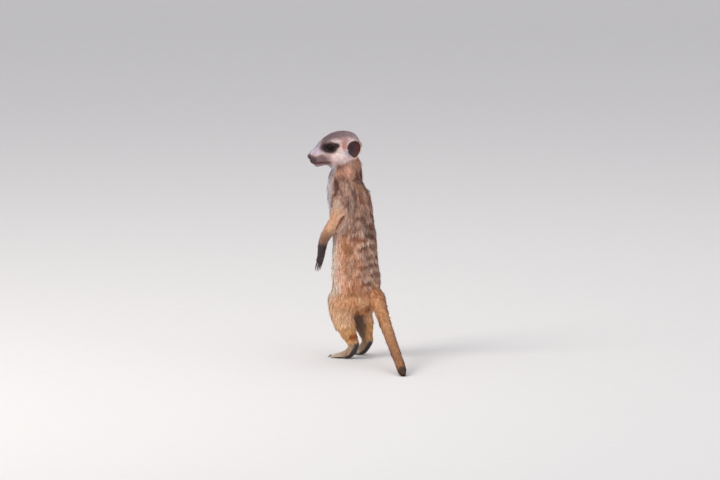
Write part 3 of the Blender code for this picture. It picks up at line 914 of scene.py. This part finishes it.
def unrolled(places, owners):
    """Where each place lies on the unwrap: each node of flesh is unrolled about its axis on to a strip."""
    uv = np.zeros((len(places), 2))
    for k, name in enumerate(FLESH):
        mine = owners == k
        if not mine.any():
            continue
        axis = LIE[name]
        first = unit(np.cross(axis, [0.3, 0.2, 1.0] if abs(axis[2]) < 0.9 else [1.0, 0, 0]))
        second = np.cross(axis, first)
        low, high = corners(name)
        reach = np.linalg.norm(high - low) / 2 + 2
        rel = places[mine] - centre(name)
        along = (rel @ axis / reach + 1) / 2
        around = np.arctan2(rel @ second, rel @ first) / math.tau + 0.5
        uv[mine, 0] = np.clip(around, 0, 1) * TURN_WIDTH + SIDE_MARGIN
        uv[mine, 1] = (k + STRIP_MARGIN + STRIP_WIDTH * np.clip(along, 0, 1)) / len(FLESH)
    return uv


def bake_map(mesh, uv):
    """Stores a place on the unwrap for each corner of each face."""
    layer = mesh.uv_layers.new(name="OFBake")
    layer.data.foreach_set("uv", np.clip(uv, 0, 1).astype(np.float32).ravel())


def unwrap_skin(mesh):
    """Gives the skin its OFBake map. Faces that cross a strip's edge are kept on one side of it."""
    places = vertices(mesh)
    faces = read(mesh.loops, "vertex_index", 1, np.int32)[:, 0]
    totals = read(mesh.polygons, "loop_total", 1, np.int32)[:, 0]
    owner_of_face = np.repeat(np.arange(len(totals)), totals)
    starts = np.concatenate([[0], np.cumsum(totals)[:-1]])
    sums = np.stack([np.bincount(owner_of_face, column[faces]) for column in places.T], 1)
    owners = nearest_nodes(sums / totals[:, None])
    uv = unrolled(places[faces], owners[owner_of_face])
    first = uv[starts, 0][owner_of_face]
    uv[:, 0] = np.where(uv[:, 0] - first > 0.5, uv[:, 0] - TURN_WIDTH, uv[:, 0])
    uv[:, 0] = np.where(uv[:, 0] - first < -0.5, uv[:, 0] + TURN_WIDTH, uv[:, 0])
    bake_map(mesh, uv)


# ---- hairs


def scatter(fields, count, density, rng):
    """Random places on the skin, as the vertices of their triangles and the shares of each."""
    fields.mesh.calc_loop_triangles()
    triangles = read(fields.mesh.loop_triangles, "vertices", 3, np.int32)
    a, b, c = (fields.places[corner] for corner in triangles.T)
    area = np.linalg.norm(np.cross(b - a, c - a), axis=1) / 2
    wanted = np.cumsum(area * density[triangles].mean(1))
    picks = (np.arange(count) + rng.random(count)) / count * wanted[-1]
    chosen = triangles[np.minimum(np.searchsorted(wanted, picks), len(triangles) - 1)]
    r, s = np.sqrt(rng.random(count)), rng.random(count)
    shares = np.stack([1 - r, r * (1 - s), r * s], 1)
    return chosen, shares


def blend(values, chosen, shares):
    """Values of vertices at places inside triangles."""
    if values.ndim == 1:
        return (values[chosen] * shares).sum(1)
    return (values[chosen] * shares[..., None]).sum(1)


def tufts_of(roots, hairs_in_one, rng):
    """Draws a middle hair for each tuft. Gives each hair the number of the nearest, and all middle hairs."""
    chosen = rng.choice(len(roots), max(1, len(roots) // hairs_in_one), replace=False)
    tree = KDTree(len(chosen))
    for k, place in enumerate(roots[chosen]):
        tree.insert(place, k)
    tree.balance()
    return np.array([tree.find(place)[1] for place in roots]), chosen


def grow(fields, count, density, rng, width, hairs_in_tuft):
    """Makes a coat's hairs: the five corners of each, their colours, their roots and the nodes below them."""
    chosen, shares = scatter(fields, count, density, rng)

    def at_root(values):
        return blend(values, chosen, shares)

    root, weights, normal = at_root(fields.places), at_root(fields.weights), unit(at_root(fields.normals))
    lie = unit(along_skin(at_root(fields.lie), normal))
    tuft, heads = tufts_of(root, hairs_in_tuft, rng)

    def by_tuft(low, high):
        return (low + (high - low) * rng.random(len(heads)))[tuft]

    guard = rng.random(count) < GUARD_HAIRS
    length = at_root(fields.length) * by_tuft(0.8, 1.15) * (0.75 + 0.45 * rng.random(count))
    length = np.where(guard, length * 1.25, length)
    lift = at_root(fields.lift) * by_tuft(0.45, 1.35) * (0.7 + 0.5 * rng.random(count))
    lift = np.where(guard, lift * 1.35, lift)

    turn = (rough_noise(root, 11, 91) - 0.5) * 0.8 + by_tuft(-0.2, 0.2) + (rng.random(count) - 0.5) * 0.3
    lie = lie * np.cos(turn)[:, None] + np.cross(normal, lie) * np.sin(turn)[:, None]
    aside = np.cross(normal, lie)
    tip = root + lie * (0.98 * length)[:, None] + normal * lift[:, None]
    draw = (at_root(fields.pull) * (0.6 + 0.4 * rng.random(count)) * np.where(guard, 0.4, 1.0))[:, None]
    tip = tip + (tip[heads][tuft] - tip) * draw
    middle = root + (tip - root) * 0.5 + normal * (0.24 * lift)[:, None]
    sink = root - normal * ROOT_DEPTH

    start, growth, least, most = width
    half = (np.clip(start + growth * length, least, most) * (0.75 + 0.5 * rng.random(count)) / 2)[:, None]
    roll = (rng.random(count) - 0.5) * 0.9
    side = aside * np.cos(roll)[:, None] + normal * np.sin(roll)[:, None]
    near, far = side * half, side * half * 0.8
    five = np.stack([sink - near, sink + near, middle + far, middle - far, tip], 1)
    five[..., 2] = np.maximum(five[..., 2], LEAST_HAIR_HEIGHT)

    if fields.colour is None:
        colour = coat_colour(root + lie * (0.35 * length)[:, None], normal, weights)
    else:
        colour = at_root(fields.colour)
    colour = colour * (by_tuft(0.86, 1.14) * (0.88 + 0.24 * rng.random(count)))[:, None]
    # Each hair is darker at the root and paler at the tip: partly its own banding, partly painted shade deep
    # in the coat and painted light on the tips.
    dark, pale = colour * 0.6, np.clip(colour * 1.16 + 0.012, 0, 0.95)
    pale = np.where(guard[:, None], colour * 0.75, pale)
    five_colours = np.stack([dark, dark, colour, colour, pale], 1)
    return five, five_colours, root, weights.argmax(1)


def hair_mesh(name, five, colours, roots, owners):
    """A mesh of flat tapered hairs, each a quad and a triangle."""
    hairs = np.arange(len(five))[:, None]
    mesh = bpy.data.meshes.new(name)
    mesh.vertices.add(five.shape[0] * five.shape[1])
    mesh.vertices.foreach_set("co", (five * MM).astype(np.float32).ravel())
    mesh.loops.add(len(five) * len(HAIR_LOOPS))
    mesh.loops.foreach_set("vertex_index", (hairs * five.shape[1] + HAIR_LOOPS).astype(np.int32).ravel())
    mesh.polygons.add(len(five) * len(HAIR_FACES))
    mesh.polygons.foreach_set("loop_start", (hairs * len(HAIR_LOOPS) + HAIR_FACES).astype(np.int32).ravel())
    mesh.update(calc_edges=True)
    mesh.validate()
    paint(mesh, colours.reshape(-1, 3))

    place = unrolled(roots, owners)
    low, high = place.min(0), place.max(0)
    place = 0.01 + 0.98 * (place - low) / np.maximum(high - low, 1e-6)
    h = BAKE_PATCH / 2
    shape = np.array([[-h, -h], [h, -h], [h, 0], [-h, 0], [-h, 0], [h, 0], [0, h]])
    bake_map(mesh, place[:, None] + shape)
    return mesh


# ---- materials


class Finish:
    """A material, with short ways to add nodes to it. A value that is a node's output is linked."""

    def __init__(self, name):
        self.material = bpy.data.materials.new(name)
        self.material.use_nodes = True
        self.nodes = self.material.node_tree.nodes
        self.where = self.nodes.new("ShaderNodeTexCoord").outputs["Object"]

    def fill(self, socket, value):
        if isinstance(value, bpy.types.NodeSocket):
            self.material.node_tree.links.new(value, socket)
        else:
            socket.default_value = value

    def set(self, **values):
        for key, value in values.items():
            self.fill(self.nodes["Principled BSDF"].inputs[key.replace("_", " ")], value)

    def add(self, kind, **values):
        made = self.nodes.new("ShaderNode" + kind)
        for key, value in values.items():
            socket = made.inputs.get(key.replace("_", " "))
            if socket is None:
                setattr(made, key, value)
            else:
                self.fill(socket, value)
        return made

    def noise(self, **sizes):
        return self.add("TexNoise", Vector=self.where, **sizes).outputs["Fac"]

    def cells(self, scale):
        return self.add("TexVoronoi", Vector=self.where, Scale=scale).outputs["Distance"]

    def ramp(self, source, low, high, start=0.0, end=1.0):
        made = self.add("MapRange", Value=source, From_Min=start, From_Max=end, To_Min=low, To_Max=high)
        return made.outputs["Result"]

    def bump(self, height, strength, distance):
        made = self.add("Bump", Height=height, Strength=strength, Distance=distance)
        return made.outputs["Normal"]

    def blend(self, blend_type, factor, first, second):
        made = self.add("Mix", data_type="RGBA", blend_type=blend_type)
        for k, value in ((0, factor), (6, first), (7, second)):
            self.fill(made.inputs[k], value)
        return made.outputs[2]


def painted(name, tone, **sizes):
    """A material that shows a mesh's painted colours, varied by a fine noise, and that noise."""
    finish = Finish(name)
    fine = finish.noise(**sizes)
    colour = finish.add("Attribute", attribute_name="coat").outputs["Color"]
    finish.set(Base_Color=finish.blend("MULTIPLY", 1.0, colour, finish.ramp(fine, *tone)))
    return finish, fine


def coat_material():
    """Fur: the painted colour with finer variation, soft and a little glossy along its length."""
    fur, fine = painted("fur", (0.72, 1.26, 0.25, 0.75), Scale=900.0, Detail=3.0, Roughness=0.6)
    fur.set(Roughness=fur.ramp(fine, 0.6, 0.85), Normal=fur.bump(fine, 0.15, 0.0004))
    fur.set(Specular_IOR_Level=0.25, Sheen_Weight=0.12, Sheen_Roughness=0.5)
    return fur.material


def skin_material():
    """Skin under the coat, and the bare pads of the feet."""
    skin, fine = painted("skin", (0.66, 1.12, 0.25, 0.75), Scale=1400.0, Detail=4.0, Roughness=0.65)
    pads = skin.add("Attribute", attribute_name="bare").outputs["Fac"]
    pebbles = skin.add("Mix", Factor=pads, A=fine, B=skin.cells(1100.0)).outputs["Result"]
    skin.set(Roughness=skin.ramp(pads, 0.85, 0.55), Normal=skin.bump(pebbles, 0.5, 0.0005))
    skin.set(Specular_IOR_Level=0.3)
    return skin.material


def eye_material():
    """The iris's painted colours, wet all over."""
    eye, _ = painted("eye", (0.8, 1.2), Scale=2200.0, Detail=2.0)
    eye.set(Roughness=0.05, Specular_IOR_Level=0.12)
    return eye.material


def nose_material():
    """Bare skin with fine bumps."""
    nose, fine = painted("nose", (0.75, 1.25, 0.25, 0.75), Scale=1300.0, Detail=3.0)
    nose.set(Roughness=nose.ramp(fine, 0.3, 0.52), Normal=nose.bump(nose.cells(1900.0), 0.6, 0.0003))
    return nose.material


def claw_material():
    """Horn, a little rough."""
    claw, fine = painted("claw", (0.8, 1.2), Scale=2500.0, Detail=2.0)
    claw.set(Roughness=claw.ramp(fine, 0.28, 0.45), Normal=claw.bump(fine, 0.25, 0.0002))
    return claw.material


def place_piece(name, mesh, material, replaces=()):
    """Puts a mesh in the scene as a piece of the part's looks."""
    mesh.shade_smooth()
    mesh.materials.clear()
    mesh.materials.append(material)
    made = new_object(name, mesh)
    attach(made, "root")
    if replaces:
        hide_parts(*replaces)


# ---- eyes, nose, ears, claws


def eyeball(side):
    """An eyeball with a bulging cornea, turned the way it looks, with fine rays and a wide pupil."""
    mesh = ball_mesh(f"eyeball_{side}", bmesh.ops.create_uvsphere, u_segments=64, v_segments=48)
    ball = (vertices(mesh) * MM)[:, [2, 0, 1]]
    off = np.degrees(np.arccos(np.clip(ball[:, 0], -1, 1)))
    radius = EYE_RADIUS * (0.97 + 0.045 * fall(18, 42, off))
    set_vertices(mesh, centre(f"eye_{side}") + (ball * radius[:, None]) @ np.stack(eye_axes(side), 1).T)
    around = np.arctan2(ball[:, 2], ball[:, 1])
    rays = 0.5 + 0.5 * np.sin(around * 38 + 4 * np.sin(around * 7))
    iris = mix(IRIS, IRIS_RAY, rays * rise(14, 30, off))
    pupil = fall(0.15, 0.2, np.hypot(ball[:, 1] / 1.5, ball[:, 2]))
    colour = layered(EYE_WHITE, (iris, fall(33, 38, off)), (PUPIL, pupil))
    colour[ball[:, 0] < 0] = EYE_BACK
    paint(mesh, colour)
    return mesh


def nose_pad():
    """The bare nose, with a groove down its middle and a comma-shaped nostril on each side."""
    co = (vertices(NODES["nose"].data) - centre("nose")) @ HEAD_AXES
    radii = np.abs(co).max(0) * np.array([1.06, 1.12, 1.1])
    mesh = ball_mesh("nose_pad", bmesh.ops.create_icosphere, subdivisions=6)
    f, y, z = (vertices(mesh) * MM).T
    wide = np.abs(y)
    shape = np.stack([f - 0.18 * np.maximum(-z, 0), y * (1 + 0.16 * z), z + 0.06 * f], 1)
    groove = bell(y / 0.09) * fall(-0.2, 0.5, z)
    hole = bell((wide - 0.46) / 0.17, (z + 0.05) / 0.2)
    slit = bell((z + 0.12 + 0.35 * (wide - 0.46)) / 0.09) * between(0.46, 0.86, wide, 0.12)
    front = rise(-0.1, 0.4, f)
    dent = front * (0.10 * groove + 0.34 * np.maximum(hole, 0.75 * slit))
    wing = 0.08 * bell((wide - 0.5) / 0.3, (z - 0.28) / 0.25) * front
    shape = shape * (1 - dent + wing)[:, None]
    set_vertices(mesh, centre("nose") + (shape * radii) @ HEAD_AXES.T)
    colour = mix(NOSE_SKIN, NOSTRIL, rise(0.08, 0.26, dent))
    paint(mesh, mix(colour, NOSE_TOP, rise(0.3, 0.9, z) * 0.35))
    return mesh


def claws_mesh():
    """All claws, made smooth, dark at the root and paler at the tip."""
    parts = [node_bmesh(name) for name in sorted(CLAWS)]
    mesh = remade(joined(parts), ("SUBSURF", {"levels": 2, "render_levels": 2}))
    mesh.name = "claws"
    places = vertices(mesh)
    near, far = (nearest_of(places, ends) for ends in zip(*claw_ends()))
    share = near / np.maximum(near + far, 1e-6)
    paint(mesh, mix(CLAW_ROOT, CLAW_TIP, rise(0.35, 1.0, share)))
    return mesh


def whiskers_mesh(fields, rng):
    """Fine dark whiskers in rows on the sides of the muzzle, and a few above each eye."""
    faces_of_skin = [tuple(face.vertices) for face in fields.mesh.polygons]
    tree = BVHTree.FromPolygons([tuple(p) for p in fields.places], faces_of_skin)
    above_eyes = [(21.0, 13.0, 12.6, 12.0), (19.4, 13.6, 12.9, 13.0), (17.8, 14.0, 13.0, 11.0)]
    rows = []
    for row, high in enumerate((-6.0, -8.4, -10.8)):
        odd = row % 2
        rows += [(39.5 - 2.1 * k - 0.9 * odd, 9.0, high + 0.25 * k, 9.0 + 3.0 * k) for k in range(5 - odd)]
    droop = HEAD_AXES @ np.array([-0.3, 0, -0.22])
    points, faces = [], []
    for side in SIDES.values():
        for forward, out, high, length in rows + above_eyes:
            place, normal, _, _ = tree.find_nearest(tuple(from_head(forward, side * out, high)))
            place, normal = np.array(place), np.array(normal)
            sweep = HEAD_AXES @ np.array([-0.35, 0.3 * side, -0.18 + 0.5 * (high > 0)])
            start_way = unit(0.75 * normal + sweep)
            length = length * (0.85 + 0.3 * rng.random())
            start = len(points)
            for k in range(7):
                t = k / 6
                axis = unit(start_way + 2 * t * droop)
                first = unit(np.cross(axis, UP))
                second = np.cross(axis, first)
                middle = place + length * (t * start_way + t * t * droop)
                radius = 0.07 * (1 - t) + 0.018
                for turn in (0, math.tau / 3, 2 * math.tau / 3):
                    points.append(middle + radius * (math.cos(turn) * first + math.sin(turn) * second))
            for low in range(start, start + 18, 3):
                faces += [(low + a, low + b, low + 3 + b, low + 3 + a) for a, b in ((0, 1), (1, 2), (2, 0))]
    mesh = bpy.data.meshes.new("whiskers")
    mesh.from_pydata([tuple(p * MM) for p in points], [], faces)
    paint(mesh, np.tile(WHISKER, (len(points), 1)))
    return mesh


def ear_mesh(side):
    """The CAD ear made finer, with a raised ridge inside and a thinner rim."""
    mesh = remade(
        joined([node_bmesh(f"ear_{side}")]),
        ("SUBSURF", {"subdivision_type": "SIMPLE", "levels": 2, "render_levels": 2}),
        ("REMESH", {"mode": "VOXEL", "voxel_size": EAR_VOXEL * MM}),
    )
    places = vertices(mesh)
    places = relax(places, edges_of(mesh), 12)
    set_vertices(mesh, places)
    normals = vertex_normals(mesh)
    out, across, up = ear_axes(side)
    rel = places - places.mean(0)
    y, z = rel @ across, rel @ up
    inside, behind = rise(0.2, 0.7, normals @ out), rise(0.2, 0.7, -normals @ out)
    ring = np.hypot(y / EAR_HALF[0], z / EAR_HALF[1])
    rim = bell((ring - 0.9) / 0.08) * rise(-0.9, 0.2, (z + 0.6 * y) / 9)
    fold = bell((np.hypot((y + 2.0) / 6.6, (z + 0.6) / 7.6) - 0.78) / 0.13) * rise(-4, 2, z + y)
    bowl = bell((y + 2.4) / 3.4, (z + 2.0) / 4.4)
    notch = bell((y + 4.6) / 2.0, (z + 5.4) / 2.4)
    swell = 3.4 * bell((y + 2.5) / 5.0, (z + 1.0) / 6.0)
    push = inside * (0.5 * rim + 0.75 * fold - 0.9 * bowl - 0.6 * notch) + behind * swell - 0.2
    narrow = 1 - 0.16 * rise(0, 9, -z) - 0.05 * rise(2, 9, z)
    places = places + across * (y * (narrow - 1))[:, None]
    set_vertices(mesh, places + normals * push[:, None])
    mesh.name = f"ear_{side}_skin"
    return mesh


def ear_axes(side):
    """Out of an ear's cup, towards its back rim, and up, from the solid's own shape."""
    co = vertices(NODES[f"ear_{side}"].data)
    spin = np.linalg.svd(co - co.mean(0), full_matrices=False)[2]
    out = spin[2] * (1 if spin[2] @ (LEFT * SIDES[side]) > 0 else -1)
    up = unit(UP - UP @ out * out)
    across = np.cross(up, out) * SIDES[side]
    if across @ FORWARD > 0:
        across = -across
    return out, across, up


class EarFields:
    """The same facts as Fields, for an ear."""

    def __init__(self, mesh, side):
        self.mesh = mesh
        self.places = vertices(mesh)
        self.normals = vertex_normals(mesh)
        out, across, up = ear_axes(side)
        rel = self.places - self.places.mean(0)
        back, high = rel @ across, rel @ up
        sweep = unit(0.45 * unit(np.stack([back, high], 1)) + np.array([0.55, 0.55]))
        self.lie = sweep[:, :1] * across + sweep[:, 1:] * up
        self.inside = rise(0.1, 0.6, self.normals @ out)
        hollow = fall(0.5, 0.85, np.hypot(back / EAR_HALF[0], high / EAR_HALF[1]))
        self.length = 1.5 - 0.2 * self.inside
        self.lift = np.full(len(rel), 0.28)
        self.pull = np.full(len(rel), 0.2)
        self.weights = np.zeros((len(rel), len(FLESH)))
        self.weights[:, FLESH.index("head")] = 1
        russet = rise(-1, 6, back) * self.inside
        colour = layered(EAR, (EAR_RUSSET, russet * 0.8), (EAR_INSIDE, self.inside * hollow * (1 - russet)))
        self.colour = colour * (0.8 + 0.4 * rough_noise(self.places, 3, 101))[:, None]
        self.density = 1 - 0.8 * self.inside * hollow


# ---- build


def finish_skin(mesh, name, colour, bareness, replaces):
    """Paints and unwraps a skin, and puts it in the scene."""
    paint(mesh, colour)
    layer = mesh.attributes.new("bare", "FLOAT", "POINT")
    layer.data.foreach_set("value", bareness.astype(np.float32))
    unwrap_skin(mesh)
    place_piece(name, mesh, skin_material(), replaces)


def skin_colour(fields):
    """The coat's colours, darker, with dark rims to the lids and lips."""
    colour = coat_colour(fields.places, fields.normals, fields.weights)
    forward, _, up = in_head(fields.places).T
    lips = between(21, 43, forward, 1.5) * bell((up - lip_height(forward)) / 0.7) * fields.on_head
    return layered(colour, (LID_RIM, fall(1.0, 1.16, fields.rim)), (LIP_SKIN, lips * 0.85)) * SKIN_SHADE


def coat_densities(fields):
    """How thickly the hairs of head and body stand: none on soles, eyes and nose."""
    furry = fall(0.3, 0.6, fields.bare) * rise(1.1, 1.35, fields.rim)
    furry *= rise(4.3, 5.2, np.linalg.norm(fields.places - centre("nose"), axis=1))
    on_head = rise(0.4, 0.6, fields.on_head)
    head = furry * on_head * (0.6 + 0.6 * rise(0, 25, in_head(fields.places)[:, 0]))
    return head, furry * fields.density * (1 - on_head)


# The width of each coat's hairs: at no length, what each millimetre of length adds, the least, the most.
BODY_HAIR = (0.24, 0.035, 0.26, 0.58)
HEAD_HAIR = (0.18, 0.06, 0.2, 0.42)
EAR_HAIR = (0.2, 0, 0.2, 0.2)


def place_coat(name, fields, count, density, width, hairs_in_tuft):
    """Grows a coat and lays it out in pieces from the floor up."""
    five, colours, roots, owners = grow(fields, count, density, rng, width, hairs_in_tuft)
    order = np.argsort(roots[:, 2], kind="stable")
    pieces = math.ceil(count / HAIRS_IN_A_PIECE)
    for k, part in enumerate(np.array_split(order, pieces), 1):
        label = name if pieces == 1 else f"{name}_{k}"
        mesh = hair_mesh(label, five[part], colours[part], roots[part], owners[part])
        place_piece(label, mesh, fur)


rng = np.random.default_rng(SEED)
skin = build_skin()
skin.name = "skin"
fields = Fields(skin)
finish_skin(skin, "skin", skin_colour(fields), fields.bare, FLESH)

fur = coat_material()
head_density, body_density = coat_densities(fields)
place_coat("coat_head", fields, HAIRS_ON_HEAD, head_density, HEAD_HAIR, TUFT_ON_HEAD)
place_coat("coat_body", fields, HAIRS_ON_BODY, body_density, BODY_HAIR, TUFT_ON_BODY)

for side in SIDES:
    ear = EarFields(ear_mesh(side), side)
    tone, smooth = ear.colour * EAR_SHADE, ear.inside * EAR_BARE
    finish_skin(ear.mesh, f"ear_skin_{side}", tone, smooth, [f"ear_{side}"])
    place_coat(f"coat_ear_{side}", ear, HAIRS_ON_EAR, ear.density, EAR_HAIR, TUFT_ON_EAR)
    place_piece(f"eyeball_{side}", eyeball(side), eye_material(), [f"eye_{side}"])

place_piece("nose_pad", nose_pad(), nose_material(), ["nose"])
place_piece("whiskers", whiskers_mesh(fields, rng), claw_material())
place_piece("claws", claws_mesh(), claw_material(), CLAWS)

# ---- studio

CAMERA_TURN, CAMERA_RISE = math.radians(128), math.radians(7.5)
CAMERA_AWAY = 12.0
SENSOR = 36.0  # millimetres
VIEW_WIDTH = 0.9504  # across the view at the animal
AIM_RIGHT, AIM_UP, AIM_BACK = 0.004, 0.1557, 0.0056
FAR_CLIP = 100


def facing(turn, high):
    """The way from the animal to what looks at it, from how far that is turned and raised, in radians."""
    return np.array([math.sin(turn) * math.cos(high), -math.cos(turn) * math.cos(high), math.sin(high)])


def look_from(made, turn, high, away):
    """Puts a camera or a lamp at a distance from the aim and turns it there."""
    made.location = aim + facing(turn, high) * away
    made.rotation_euler = (math.pi / 2 - high, 0, turn)


stance = (centre("thigh_left") + centre("thigh_right")) / 2 * MM
back_to_camera = facing(CAMERA_TURN, CAMERA_RISE)
right_of_camera = np.array([math.cos(CAMERA_TURN), math.sin(CAMERA_TURN), 0])
aim = np.array([stance[0], stance[1] + AIM_BACK, 0]) + AIM_RIGHT * right_of_camera + np.array([0, 0, AIM_UP])
camera_data = bpy.data.cameras.new("camera")
camera_data.sensor_width = SENSOR
camera_data.lens = SENSOR * CAMERA_AWAY / VIEW_WIDTH
camera_data.clip_end = FAR_CLIP
camera = new_object("camera", camera_data)
look_from(camera, CAMERA_TURN, CAMERA_RISE, CAMERA_AWAY)
bpy.context.scene.camera = camera


def studio_floor():
    """A pale sweep: flat under the animal, curving up far behind it."""
    radius, reach, width, near, top = 3.0, 4.0, 30.0, -20.0, 14.0
    bend = np.linspace(0.1, math.pi / 2, 16)
    rows = [(near, 0.0), (reach, 0.0)]
    rows += [(reach + radius * math.sin(a), radius * (1 - math.cos(a))) for a in bend]
    rows.append((reach + radius, top))
    away = -back_to_camera[:2] / math.cos(CAMERA_RISE)
    across = right_of_camera[:2] * width / 2
    points = []
    for far, high in rows:
        flat = aim[:2] + away * far
        points += [(*(flat - across), high), (*(flat + across), high)]
    faces = [(k, k + 1, k + 3, k + 2) for k in range(0, len(points) - 2, 2)]
    mesh = bpy.data.meshes.new("floor")
    mesh.from_pydata(points, [], faces)
    mesh.shade_smooth()
    plain = Finish("floor")
    fine = plain.noise(Scale=60.0, Detail=4.0)
    plain.set(Base_Color=plain.blend("MIX", fine, FLOOR_DARK, FLOOR_PALE), Roughness=0.9)
    mesh.materials.append(plain.material)
    floor = new_object("floor", mesh)


studio_floor()


def area_light(name, turn, high, away, size, power, colour):
    """A square lamp that faces the animal, turned from the camera's own direction by degrees."""
    data = bpy.data.lights.new(name, "AREA")
    data.shape = "SQUARE"
    data.size = size
    data.energy = power
    data.color = colour
    look_from(new_object(name, data), CAMERA_TURN + math.radians(turn), math.radians(high), away)


# Each lamp's turn and height in degrees, its distance and size in metres, its power in watts, its colour.
area_light("key", -62, 42, 2.2, 1.1, 27, (1.0, 0.96, 0.9))
area_light("fill", 48, 18, 2.6, 1.8, 7, (0.88, 0.92, 1.0))
area_light("low", -105, 6, 2.4, 1.6, 3.5, (1.0, 0.95, 0.92))
area_light("top", 170, 62, 2.4, 1.4, 10, (1.0, 0.97, 0.94))

world = bpy.data.worlds.new("world")
world.use_nodes = True
sky = world.node_tree.nodes["Background"]
sky.inputs["Color"].default_value = (0.93, 0.95, 1.0, 1)
sky.inputs["Strength"].default_value = 0.9
bpy.context.scene.world = world
bpy.context.scene.view_settings.view_transform = "Standard"
